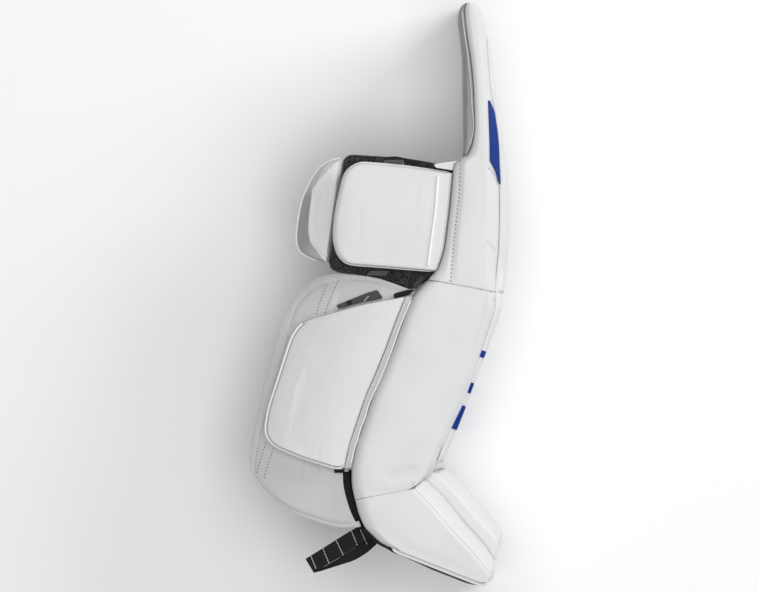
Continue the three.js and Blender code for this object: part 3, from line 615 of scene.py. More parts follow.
@dataclass(frozen=True)
class Rim:
    """A line round a piece's outline.

    Attributes:
        height: The outline's height over the origin, in metres.
        out: How far outside the outline the line runs.
        slope: How much the outline rises along X and along Y.
        keep: Tells which stretch of the outline is wanted, or None for all of it.
    """

    height: float
    out: float = 0.0
    slope: Slope = LEVEL
    keep: Callable[[Vector], bool] | None = None

    def line(self, piece: Piece) -> list[Vector]:
        """The wanted stretch of the line round a piece, in order."""
        spots = thinned(outlines(piece, self.height, self.slope), 4 * MM)
        middle = sum(spots, Vector()) / len(spots)
        turning = sum((a - middle).cross(b - middle).z for a, b in zip(spots, spots[1:]))
        moved: list[Vector] = []
        for before, spot, after in zip([spots[-1], *spots], spots, [*spots[1:], spots[0]]):
            way = (after - before).normalized()
            outward = Vector((way.y, -way.x, 0.0)) * math.copysign(1.0, turning)
            moved.append(spot + outward * self.out)
        if self.keep is None:
            return moved
        wanted = [self.keep(spot) for spot in moved]
        start = next(i for i in range(len(moved)) if wanted[i] and not wanted[i - 1])
        stretch: list[Vector] = []
        for i in range(len(moved)):
            place = (start + i) % len(moved)
            if not wanted[place]:
                break
            stretch.append(moved[place])
        return stretch

    def piping(self, name: str, piece: Piece, radius: float, finish: Finish = WHITE_PIPING_AND_HIGHLIGHT) -> Piece:
        """A cord of piping along the line."""
        return tube(name, self.line(piece), radius, finish, closed=self.keep is None)

    def seam(self, name: str, piece: Piece, finish: Finish) -> Piece:
        """A fine cord along the line, laid on the piece's upper side."""
        skin = Skin(piece)
        found = [skin.drop(spot.x, spot.y) for spot in self.line(piece)]
        return tube(name, [hit[0] for hit in found if hit], 0.45 * MM, finish, closed=self.keep is None)


def band(name: str, line: Sequence[Vector], width: float, thickness: float, finish: Finish) -> Piece:
    """A flat tape along a line, its face up.

    Args:
        name: The tape's name.
        line: The points along its middle.
        width: Its width.
        thickness: Its thickness.
        finish: Its finish.

    Returns:
        The tape.
    """
    bpy.ops.object.select_all(action="DESELECT")
    bpy.ops.mesh.primitive_grid_add(x_subdivisions=len(line) - 1, y_subdivisions=2, size=1.0)
    piece = bpy.context.object
    piece.name = piece.data.name = name
    points = points_of(piece)
    for index, (u, v, _) in enumerate(points):
        place = round((u + 0.5) * (len(line) - 1))
        way = (line[min(place + 1, len(line) - 1)] - line[max(place - 1, 0)]).normalized()
        side = Vector((-way.y, way.x, 0.0)).normalized()
        points[index] = line[place] + side * v * width
    set_points(piece, points)
    modify(piece, "SOLIDIFY", thickness=thickness, offset=0.0)
    modify(piece, "BEVEL", width=thickness / 4, segments=2)
    smooth(piece)
    return finish_piece(piece, finish)


def right_edge(piece: Piece, inset: float, step: float = 12 * MM) -> Route:
    """The line a little inside a piece's right edge, from its top to its bottom.

    Args:
        piece: The piece.
        inset: The line's distance from the edge.
        step: The distance between the line's points.

    Returns:
        The line in millimetres.
    """
    points = points_of(piece)
    top, bottom = points[:, 1].max() - step / 2, points[:, 1].min() + step / 2
    levels = np.linspace(top, bottom, round((top - bottom) / step))
    reach = [points[np.abs(points[:, 1] - level) < step / 2, 0].max() - inset for level in levels]
    return [(x / MM, y / MM) for x, y in zip(reach, levels)]


def laid(route: Route, skin: "Skin", lift: float, step: float = 3 * MM) -> list[Vector]:
    """A route's places on a surface, lifted off it.

    Args:
        route: The line in millimetres.
        skin: The surface.
        lift: How far above it.
        step: The distance between places.

    Returns:
        The points.
    """
    found = [skin.drop(x, y) for x, y in along(route, step)]
    return [hit[0] + Vector((0, 0, lift)) for hit in found if hit]


def tree_of(spots: Sequence[Sequence[float]]) -> KDTree:
    """A tree that finds the nearest of some points."""
    tree = KDTree(len(spots))
    for index, spot in enumerate(spots):
        tree.insert(spot, index)
    tree.balance()
    return tree


def sharp_edges(node: str, angle: float = 30.0, step: float = 3 * MM) -> KDTree:
    """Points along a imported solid's sharp edges, for finding how far a place is from the nearest.

    Args:
        node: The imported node.
        angle: The least angle of a sharp edge, in degrees.
        step: The distance between points.

    Returns:
        A tree of the points.
    """
    kit = bmesh.new()
    kit.from_mesh(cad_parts[node].data)
    bmesh.ops.remove_doubles(kit, verts=kit.verts, dist=0.01 * MM)
    spots: list[Vector] = []
    for edge in kit.edges:
        if math.degrees(edge.calc_face_angle(0.0)) < angle:
            continue
        start, end = (v.co.copy() for v in edge.verts)
        count = max(1, round((end - start).length / step))
        spots += [start.lerp(end, i / count) for i in range(count + 1)]
    kit.free()
    return tree_of(spots)


@dataclass(frozen=True)
class Filling:
    """How a padded piece's cover is blown out by what fills it.

    Attributes:
        pressure: The cloth's inner pressure.
        travel: The furthest that any point may move, in metres.
        stiffness: The cover's stiffness.
        tight: How tightly the piece is stuffed, from 0 to 1; not used.
        frames: How many steps the simulation takes.
    """

    pressure: float = 4.0
    travel: float = 4 * MM
    stiffness: float = 15.0
    tight: float = 0.8
    frames: int = 20


def inflate(piece: Piece, filling: Filling, held: np.ndarray) -> None:
    """Blows a piece out by cloth simulation and leaves the result in its mesh.

    Args:
        piece: The piece.
        filling: What fills it.
        held: For each point, 1 where the cover is sewn down or backed, down to 0 where it is free.
    """
    group = piece.vertex_groups.new(name="held")
    for weight in np.unique(held.round(1)):
        if weight > 0:
            group.add([int(i) for i in np.flatnonzero(held.round(1) == weight)], float(weight), "REPLACE")
    before = points_of(piece)
    pick(piece)
    modifier = piece.modifiers.new("Cloth", "CLOTH")
    cloth = modifier.settings
    cloth.use_pressure = True
    cloth.uniform_pressure_force = filling.pressure
    cloth.effector_weights.gravity = 0.0
    cloth.tension_stiffness = cloth.compression_stiffness = filling.stiffness
    cloth.shear_stiffness = filling.stiffness / 3
    cloth.quality = 5
    cloth.vertex_group_mass = group.name
    cloth.pin_stiffness = 1.0
    modifier.point_cache.frame_start = 1
    modifier.point_cache.frame_end = filling.frames
    scene = bpy.context.scene
    for number in range(1, filling.frames + 1):
        scene.frame_set(number)
    graph = bpy.context.evaluated_depsgraph_get()
    moved = points_of(piece.evaluated_get(graph)) - before
    far = np.linalg.norm(moved, axis=1, keepdims=True)
    capped = moved * (np.tanh(far / filling.travel) * filling.travel / np.maximum(far, 1e-9))
    piece.modifiers.remove(modifier)
    piece.vertex_groups.clear()
    scene.frame_set(1)
    set_points(piece, before + capped)


def ramp(values: np.ndarray, start: float, end: float) -> np.ndarray:
    """Rises evenly from 0 at start to 1 at end, which may be the lower of the two."""
    return np.clip((values - start) / (end - start), 0.0, 1.0)


def nudge(piece: Piece, offset: Offset, share: np.ndarray) -> None:
    """Moves each point of a piece by its own share of an offset."""
    set_points(piece, points_of(piece) + share[:, None] * np.array(offset))


def relax(piece: Piece, free: np.ndarray, rounds: int) -> None:
    """Evens out the free points of a piece.

    Args:
        piece: The piece.
        free: For each point, 1 where it may move, down to 0 where it stays.
        rounds: How many times each point moves to the middle of its neighbours.
    """
    ends = ends_of(piece)
    first, second = ends.T
    points = points_of(piece)
    count = np.bincount(ends.ravel(), minlength=len(points))[:, None]
    for _ in range(rounds):
        total = np.zeros_like(points)
        np.add.at(total, first, points[second])
        np.add.at(total, second, points[first])
        points += (total / count - points) * free[:, None] * 0.6
    set_points(piece, points)


class Skin:
    """The finished surfaces of some pieces, for laying seams and stitches on them from above."""

    def __init__(self, *pieces: Piece) -> None:
        """Reads the pieces' meshes as they are now."""
        graph = bpy.context.evaluated_depsgraph_get()
        self._trees = [BVHTree.FromObject(piece, graph) for piece in pieces]

    def drop(self, x: float, y: float) -> tuple[Vector, Vector] | None:
        """Finds the highest surface at a place.

        Args:
            x: The place's X in metres.
            y: The place's Y in metres.

        Returns:
            The point there and its normal, or None if nothing is there.
        """
        hits = [tree.ray_cast(Vector((x, y, 1.0)), Vector((0, 0, -1))) for tree in self._trees]
        found = [(hit[0], hit[1]) for hit in hits if hit[0] is not None]
        return max(found, key=lambda pair: pair[0].z) if found else None


def along(route: Route, step: float) -> list[tuple[float, float]]:
    """Places at even steps on a smooth line through a route.

    Args:
        route: X and Y of each point, in millimetres.
        step: The distance between places, in metres.

    Returns:
        X and Y of each place, in metres.
    """
    knots = [Vector((x * MM, y * MM)) for x, y in route]
    knots = [knots[0] * 2 - knots[1], *knots, knots[-1] * 2 - knots[-2]]
    line: list[Vector] = []
    for a, b, c, d in zip(knots, knots[1:], knots[2:], knots[3:]):
        for i in range(16):
            t = i / 16
            curved = (2 * a - 5 * b + 4 * c - d) * t**2 + (3 * b - a - 3 * c + d) * t**3
            line.append(0.5 * (2 * b + (c - a) * t + curved))
    line.append(knots[-2])
    places = [line[0]]
    walked = 0.0
    for start, end in zip(line, line[1:]):
        length = (end - start).length
        while walked + length >= step:
            start = start + (end - start) * ((step - walked) / length)
            length = (end - start).length
            places.append(start)
            walked = 0.0
        walked += length
    return [(p.x, p.y) for p in places]


@dataclass(frozen=True)
class Groove:
    """A line pressed into the upper side of a piece, or raised from it where the depth is negative.

    Attributes:
        route: The line in millimetres.
        half_width: How far from the line the press reaches.
        depth: How deep it is at the line.
    """

    route: Route
    half_width: float
    depth: float

    def press(self, piece: Piece) -> None:
        """Presses the line into a piece."""
        places = along(self.route, self.half_width / 3)
        tree = tree_of([(x, y, 0.0) for x, y in places])
        points = points_of(piece)
        normals = normals_of(piece)
        low = np.min(places, axis=0) - self.half_width
        high = np.max(places, axis=0) + self.half_width
        near = ((points[:, :2] > low) & (points[:, :2] < high)).all(axis=1)
        for index in np.flatnonzero(near & (normals[:, 2] > 0.1)):
            gap = tree.find((points[index, 0], points[index, 1], 0.0))[2]
            if gap < self.half_width:
                share = (1 - (gap / self.half_width) ** 2) ** 2
                points[index] -= normals[index] * self.depth * share
        set_points(piece, points)


def tube(name: str, line: Sequence[Vector], radius: float, finish: Finish, closed: bool = False) -> Piece:
    """A round cord through points, as a mesh.

    Args:
        name: The piece's name.
        line: The points that it follows.
        radius: Its radius in metres.
        finish: Its finish.
        closed: Whether its end meets its start.

    Returns:
        The piece.
    """
    bpy.ops.object.select_all(action="DESELECT")
    bpy.ops.curve.primitive_nurbs_path_add(location=(0, 0, 0))
    piece = bpy.context.object
    piece.name = name
    curve = piece.data
    curve.splines.clear()
    spline = curve.splines.new("NURBS")
    spline.points.add(len(line) - 1)
    for point, place in zip(spline.points, line):
        point.co = (*place, 1.0)
    spline.order_u = 4
    spline.use_endpoint_u = not closed
    spline.use_cyclic_u = closed
    spline.resolution_u = 2
    curve.dimensions = "3D"
    curve.bevel_depth = radius
    curve.bevel_resolution = 2
    curve.use_fill_caps = not closed
    pick(piece)
    bpy.ops.object.convert(target="MESH")
    piece = bpy.context.object
    piece.data.name = name
    bpy.ops.object.shade_smooth()
    return finish_piece(piece, finish)


def piping(
    name: str, route: Route, skin: Skin, radius: float, finish: Finish = WHITE_PIPING_AND_HIGHLIGHT, sink: float = 0.3
) -> Piece:
    """A cord of piping laid on a surface.

    Args:
        name: The piece's name.
        route: Its line in millimetres.
        skin: What it lies on.
        radius: Its radius in metres.
        finish: Its finish.
        sink: The share of its radius that is sunk into the surface.

    Returns:
        The piece.
    """
    line: list[Vector] = []
    for x, y in along(route, max(4 * MM, radius * 2)):
        found = skin.drop(x, y)
        if found:
            point, normal = found
            line.append(point + normal * radius * (1 - sink))
    return tube(name, line, radius, finish)


@dataclass(frozen=True)
class Stitch:
    """One visible stitch of a sewn row, in metres. Its lift is a share of its radius."""

    length: float = 3.4 * MM
    pitch: float = 5.2 * MM
    radius: float = 0.55 * MM
    lift: float = 0.3
    sides: int = 6
    rings: int = 4

    def template(self) -> tuple[np.ndarray, list[tuple[int, ...]]]:
        """One stitch along X at the origin, as its points and faces."""
        bpy.ops.object.select_all(action="DESELECT")
        bpy.ops.mesh.primitive_uv_sphere_add(segments=self.sides, ring_count=self.rings, radius=self.radius)
        model = bpy.context.object
        points = points_of(model)[:, [2, 0, 1]]
        points[:, 0] *= self.length / (2 * self.radius)
        faces = [tuple(face.vertices) for face in model.data.polygons]
        bpy.data.objects.remove(model)
        return points, faces


def stitches(
    name: str, routes: Sequence[Route], skin: Skin, stitch: Stitch, finish: Finish, slant: float = 0.0
) -> Piece:
    """Rows of stitches on a surface, joined into one piece.

    Args:
        name: The piece's name.
        routes: The rows' lines in millimetres.
        skin: What they lie on.
        stitch: One stitch.
        finish: Their finish.
        slant: How far each stitch is turned from its row, in degrees.

    Returns:
        The piece.
    """
    model, model_faces = stitch.template()
    points: list[np.ndarray] = []
    faces: list[tuple[int, ...]] = []
    for route in routes:
        places = along(route, stitch.pitch)
        for index, (x, y) in enumerate(places):
            found = skin.drop(x, y)
            if not found:
                continue
            spot, normal = found
            before = places[max(index - 1, 0)]
            after = places[min(index + 1, len(places) - 1)]
            way = Vector((after[0] - before[0], after[1] - before[1], 0.0))
            way.rotate(Matrix.Rotation(math.radians(slant), 3, "Z"))
            way = (way - normal * way.dot(normal)).normalized()
            side = normal.cross(way)
            turn = np.array([way, side, normal])
            start = len(points) * len(model)
            points.append(model @ turn + np.array(spot + normal * stitch.radius * stitch.lift))
            faces += [tuple(start + i for i in face) for face in model_faces]
    mesh = bpy.data.meshes.new(name)
    mesh.from_pydata(np.concatenate(points), [], faces)
    piece = bpy.data.objects.new(name, mesh)
    bpy.context.scene.collection.objects.link(piece)
    pick(piece)
    bpy.ops.object.shade_smooth()
    return finish_piece(piece, finish)


@dataclass(eq=False)
class Padded:
    """A leather or cloth covered piece of the pad, stuffed or backed with foam."""

    node: str
    name: str
    finish: Finish = WHITE
    filling: Filling = Filling()
    cell: float = 16 * MM
    levels: int = 1
    sharp: float = 60.0
    ridge: float = 0.5
    fold: float = 0.45
    channelled: bool = False
    swell: float = 0.3 * MM
    rounds: int = 0
    seam_reach: float = 12 * MM
    piece: Piece | None = field(default=None, init=False)

    def build(self) -> None:
        """Models the piece: its solid's own form, smoothed, blown out between its seams."""
        piece = shell(self.name, self.node)
        even_rings(piece, self.cell)
        crease(piece, self.sharp, self.ridge, self.fold)
        subdivide(piece, 1)
        held = self._held(piece)
        relax(piece, 1 - held, self.rounds)
        inflate(piece, self.filling, held)
        subdivide(piece, self.levels)
        points = points_of(piece) + normals_of(piece) * self.swell
        points[:, 2] = np.maximum(points[:, 2], 0.0)
        set_points(piece, points)
        smooth(piece, 50)
        self.piece = piece

    def _held(self, piece: Piece) -> np.ndarray:
        """How firmly each point is held: along seams, in the leg channel, below and on the floor."""
        edges = sharp_edges(self.node)
        points = points_of(piece)
        gaps = np.array([edges.find(point)[2] for point in points])
        held = np.clip(1.2 - gaps / self.seam_reach, 0.0, 1.0)
        held[points[:, 2] < 3 * MM] = 1.0
        held[normals_of(piece)[:, 2] < -0.6] = 1.0
        if self.channelled:
            inside = (points[:, 2] > ROLL_WIDTH - 2 * MM) & (points[:, 2] < PAD_WIDTH - ROLL_WIDTH + 2 * MM)
            held[inside] = 1.0
        return held

    def dress(self) -> None:
        piece = self.piece
        if self.channelled:
            mesh = piece.data
            values = mesh.attributes.new("lining", "FLOAT", "FACE")
            for face in mesh.polygons:
                between = ROLL_WIDTH - 1 * MM < face.center.z < PAD_WIDTH - ROLL_WIDTH + 1 * MM
                rearward = face.normal.x < 0.5 and abs(face.normal.y) < 0.75
                values.data[face.index].value = float(between and rearward)
        finish_piece(piece, self.finish, self.node)


@dataclass
class Trim:
    """A thin piece that keeps its solid's form, with softened edges."""

    node: str
    name: str
    finish: Finish
    cell: float = 10 * MM
    levels: int = 1
    fold: float = 0.6
    swell: float = 0.0

    def build(self) -> Piece:
        """Models and dresses the piece."""
        piece = shell(self.name, self.node)
        even_rings(piece, self.cell)
        crease(piece, 25.0, self.fold, self.fold)
        subdivide(piece, self.levels)
        set_points(piece, points_of(piece) + normals_of(piece) * self.swell)
        smooth(piece, 50)
        return finish_piece(piece, self.finish, self.node)


FACE_FILLING = Filling(travel=2 * MM)


def on_boot_end(spot: Vector) -> bool:
    """Whether a place is on the boot's lower edge."""
    return spot.x > 20 * MM and spot.y < -372 * MM - (spot.x - 22 * MM) * 0.4


@dataclass
class Body:
    """The bent leather body with its back panel, face panels, blue leather and seams."""

    thigh: Padded = Padded("thigh_knee_section", "thigh_knee_leather", channelled=True)
    shin: Padded = Padded("shin_section", "shin_leather", channelled=True)
    boot: Padded = Padded("boot_section", "boot_leather", channelled=True)
    # the back panel's finish is partly painted shade
    back: Padded = Padded("thigh_back_panel", "thigh_back_pad", GREY_AND_PAINTED_SHADE, Filling(travel=1 * MM), cell=12 * MM)
    knee_face: Padded = Padded("knee_face_panel", "knee_face_pad", filling=FACE_FILLING, swell=1.4 * MM)
    shin_face: Padded = Padded("shin_face_panel", "shin_face_pad", filling=FACE_FILLING, swell=1 * MM)
    toe_face: Padded = Padded("toe_face_panel", "toe_face_pad", filling=FACE_FILLING, swell=1.8 * MM)
    rear_roll: Groove = Groove(
        ((122, 208), (120, 157), (117, 128), (114, 100), (111, 71), (107, 20)), 7 * MM, 1.6 * MM
    )
    panel_seam: Groove = Groove(
        ((164, 191), (175, 180), (180, 168), (182, 143), (182, 100), (180, 62), (177, 28)), 6 * MM, 0.7 * MM
    )
    knee_ticks: tuple[Route, ...] = (
        ((165, 191), (178, 170)),
        ((167, 193), (180, 172)),
        ((162, 82), (173, 66)),
        ((164, 84), (175, 68)),
    )
    shin_ridge: Groove = Groove(((169, 4), (156, -51), (128, -149), (96, -222)), 9 * MM, -1.6 * MM)
    shin_corner: Groove = Groove(((169, -3), (179, -18), (176, -36)), 6 * MM, 0.8 * MM)
    boot_seam: Groove = Groove(
        ((50, -286), (77, -314), (108, -349), (140, -384), (166, -416)), 6 * MM, 1.0 * MM
    )
    toe_ridge: Groove = Groove(((77, -276), (108, -311), (170, -366)), 9 * MM, -1.6 * MM)
    ankle_fold: Groove = Groove(((14, -287), (30, -284), (47, -279)), 10 * MM, -0.9 * MM)
    ankle_pucker: Groove = Groove(((18, -271), (32, -268), (47, -262)), 13 * MM, 1.1 * MM)
    ankle_star: tuple[Route, ...] = (
        ((49, -283), (48, -276)),
        ((51, -283), (54, -277)),
        ((53, -285), (61, -281)),
    )
    toe_corner: tuple[float, float] = (74 * MM, -277 * MM)
    toe_reach: float = 40 * MM
    toe_pull: Offset = (-8 * MM, 8 * MM, 0.0)
    shin_face_pull: Offset = (-0.5 * MM, -5 * MM, 0.0)
    foot_levels: Span = (-215 * MM, -243 * MM)
    back_piping: Route = (
        (124, 426), (127, 401), (133, 358), (137, 318), (139, 283), (141, 260), (140, 243), (134, 226)
    )
    back_tuck: Offset = (4 * MM, 0.0, 0.0)
    tuck_reach: Span = (131 * MM, 123 * MM)
    tuck_levels: Span = (430 * MM, 360 * MM)
    back_folds: tuple[Groove, ...] = (
        Groove(((122, 410), (125, 370), (127, 330), (128, 290)), 6 * MM, 1.5 * MM),
        Groove(((124, 330), (127, 290), (128, 255), (127, 235)), 6 * MM, 1.5 * MM),
    )
    boot_piping: Rim = Rim(273 * MM, 1.2 * MM, keep=on_boot_end)
    boot_edge: Rim = Rim(271 * MM, -2.2 * MM, keep=on_boot_end)
    roll_stitch: Stitch = Stitch(length=5 * MM, pitch=6 * MM, radius=0.7 * MM)
    face_stitch: Stitch = Stitch(length=2.4 * MM, pitch=4 * MM, radius=0.4 * MM)

    def _sections(self) -> tuple[Padded, ...]:
        """The stretches and panels, from the thigh down."""
        return self.thigh, self.shin, self.boot, self.back, self.knee_face, self.shin_face, self.toe_face

    def build(self) -> None:
        """Models every stretch and panel, and presses the seams into them."""
        for section in self._sections():
            section.build()
        reach, level, _ = points_of(self.back.piece).T
        nudge(self.back.piece, self.back_tuck, ramp(reach, *self.tuck_reach) * ramp(level, *self.tuck_levels))
        for fold in self.back_folds:
            fold.press(self.back.piece)
        for line in (self.rear_roll, self.panel_seam):
            line.press(self.thigh.piece)
        for line in (self.shin_ridge, self.shin_corner):
            line.press(self.shin.piece)
        for line in (self.boot_seam, self.toe_ridge):
            line.press(self.boot.piece)
        for line in (self.ankle_fold, self.ankle_pucker):
            line.press(self.shin.piece)
        foot = ramp(points_of(self.shin_face.piece)[:, 1], *self.foot_levels)
        nudge(self.shin_face.piece, self.shin_face_pull, foot)
        far = np.hypot(*(points_of(self.toe_face.piece)[:, :2] - np.array(self.toe_corner)).T)
        nudge(self.toe_face.piece, self.toe_pull, ramp(far, self.toe_reach, 0.0))

    def dress(self) -> None:
        """Finishes every stretch and panel, and adds blue leather, piping and stitches."""
        for section in self._sections():
            section.dress()
        for node in ("blue_thigh_insert", "blue_bar_upper", "blue_bar_middle", "blue_bar_lower"):
            Trim(node, f"{node}_leather", BLUE, cell=14 * MM, fold=0.5).build()
        skin = Skin(self.thigh.piece, self.shin.piece, self.boot.piece, self.back.piece)
        piping("thigh_back_piping", self.back_piping, skin, 0.8 * MM, SOFT_PIPING)
        self.boot_piping.piping("boot_side_piping", self.boot.piece, 1.9 * MM)
        self.boot_edge.seam("boot_side_seam", self.boot.piece, GREY_THREAD)
        stitches(
            "knee_roll_stitches", [self.rear_roll.route], skin, self.roll_stitch, GREY_THREAD, slant=40.0
        )
        seams = [line.route for line in (self.panel_seam, self.shin_corner, self.boot_seam)]
        rows = [seams[0], *self.knee_ticks, *seams[1:], *self.ankle_star]
        stitches("face_panel_stitches", rows, skin, self.face_stitch, GREY_THREAD)


WING_REACH: Span = (-93 * MM, -55 * MM)
WING_LEVELS: Span = (46 * MM, 208 * MM)


def wing_seam(y: float | np.ndarray) -> float | np.ndarray:
    """X of the seam between the wing and the mesh pad at a Y, in metres."""
    return np.interp(y, WING_LEVELS, WING_REACH)


def off_wing_seam(spot: Vector) -> bool:
    """Whether a place on the wing is clear of its seam with the mesh pad."""
    return spot.x < wing_seam(spot.y) - 4 * MM


@dataclass
class Knee:
    """The knee block on its mesh pad, with gusset, tabs, straps and the wing behind it."""

    block: Padded = Padded(
        "knee_block",
        "knee_block_cushion",
        filling=Filling(travel=2.5 * MM),
        cell=14 * MM,
        sharp=50.0,
        fold=0.5,
    )
    cover: Padded = Padded("knee_block_cover", "knee_mesh_pad", MESH, Filling(travel=2 * MM), cell=14 * MM)
    wing: Padded = Padded(
        "knee_wing", "knee_wing_guard", filling=Filling(travel=1 * MM), cell=10 * MM, sharp=22.0, fold=0.6
    )
    seam_shift: float = 12 * MM
    block_piping: Rim = Rim(233 * MM, 1.2 * MM)
    block_seam: Rim = Rim(270 * MM, -1.5 * MM)
    cover_piping: Rim = Rim(226 * MM, 0.2 * MM)
    wing_piping: Rim = Rim(231 * MM, 1.2 * MM, (0.27, 0.0), off_wing_seam)
    tab_stitch: Stitch = Stitch(length=1.6 * MM, pitch=2.4 * MM, radius=0.4 * MM)
    wing_fold: Route = (
        (-80, 50), (-90, 62), (-104, 80), (-107, 97), (-106, 120), (-101, 161), (-80, 187), (-60, 206)
    )
    # painted shade on the wing's outer bevel, as a share by height: full on the left side, less on the top
    wing_bevel_painted_shade: Route = ((0.7, 50), (1.0, 80), (1.0, 150), (0.45, 166), (0.35, 206))
    # line of a raised bead whose bright piping finish is a painted highlight along the block's fold
    bead: Route = ((88, 181), (84, 128), (78, 85), (73, 45))
    arch: Route = ((10, 206), (23, 207), (35, 205), (49, 202), (61, 199))
    lower_strap: Route = ((66, 29), (56, 17), (45, 5))
    tab_ends: tuple[Route, ...] = (
        ((8, 202), (7, 197)),
        ((36, 200), (36, 194)),
        ((-9, 42), (-9, 36)),
        ((19, 40), (19, 33)),
    )

    def build(self) -> None:
        """Models the cushions."""
        for cushion in (self.block, self.cover, self.wing):
            cushion.build()
        Groove(self.wing_fold[1:-1], 6 * MM, -1.2 * MM).press(self.wing.piece)
        for cushion, start, end in ((self.wing, -30 * MM, -6 * MM), (self.cover, 34 * MM, 4 * MM)):
            reach, level, _ = points_of(cushion.piece).T
            low = 0.4 + 0.6 * ramp(level, WING_LEVELS[1], WING_LEVELS[0])
            nudge(cushion.piece, (self.seam_shift, 0, 0), ramp(reach - wing_seam(level), start, end) * low)

    def dress(self) -> None:
        """Finishes the cushions and adds the gusset, the tabs, the straps and the piping."""
        # paints shade on the wing's outer bevel
        self._paint_wing_bevel_shade()
        for cushion in (self.block, self.cover, self.wing):
            cushion.dress()
        Trim("knee_gusset", "knee_gusset_leather", WHITE).build()
        upper = Trim("knee_tab_upper", "knee_elastic_upper", ELASTIC).build()
        lower = Trim("knee_tab_lower", "knee_elastic_lower", ELASTIC).build()
        block, cover = self.block.piece, self.cover.piece
        # painted highlight: the bead takes the bright piping finish to stand for the light on the block's fold
        piping("knee_block_bead_painted_highlight", self.bead, Skin(block), 1.8 * MM, sink=0.5)
        self.block_piping.piping("knee_block_piping", block, 1.4 * MM)
        self.block_seam.seam("knee_block_seam", block, SOFT_PIPING)
        self.wing_piping.piping("knee_wing_piping", self.wing.piece, 1.4 * MM)
        band("knee_mesh_arch", laid(self.arch, Skin(cover), 1.5 * MM), 6 * MM, 1.5 * MM, BLACK)
        self.cover_piping.piping("knee_mesh_piping", cover, 1.0 * MM, ELASTIC)
        band("knee_corner_strap", laid(self.lower_strap, Skin(cover), 3 * MM), 8 * MM, 1.5 * MM, STRAP_CLOTH)
        stitches("knee_tab_stitches", self.tab_ends, Skin(upper, lower), self.tab_stitch, STRAP_THREAD)

    def _paint_wing_bevel_shade(self) -> None:
        """Paints shade on the wing's outer bevel: full on its left side, less on its upper part."""
        mesh = self.wing.piece.data
        values = mesh.attributes.new("edge", "FLOAT", "FACE")
        folds, levels = zip(*self.wing_fold)
        painted_shades, heights = zip(*self.wing_bevel_painted_shade)
        for face in mesh.polygons:
            x, y, _ = face.center / MM
            outer = x < np.interp(y, levels, folds)
            values.data[face.index].value = float(outer) * float(np.interp(y, heights, painted_shades))


LANDING_SLOPE: Slope = (0.168, -0.064)


def on_free_edge(spot: Vector) -> bool:
    """Whether a place is on the landing's left or bottom edge."""
    corner = (spot.x + 120 * MM) * 0.2 - max(0.0, spot.x + 100 * MM)
    return spot.x < -54 * MM and spot.y < -42 * MM + corner


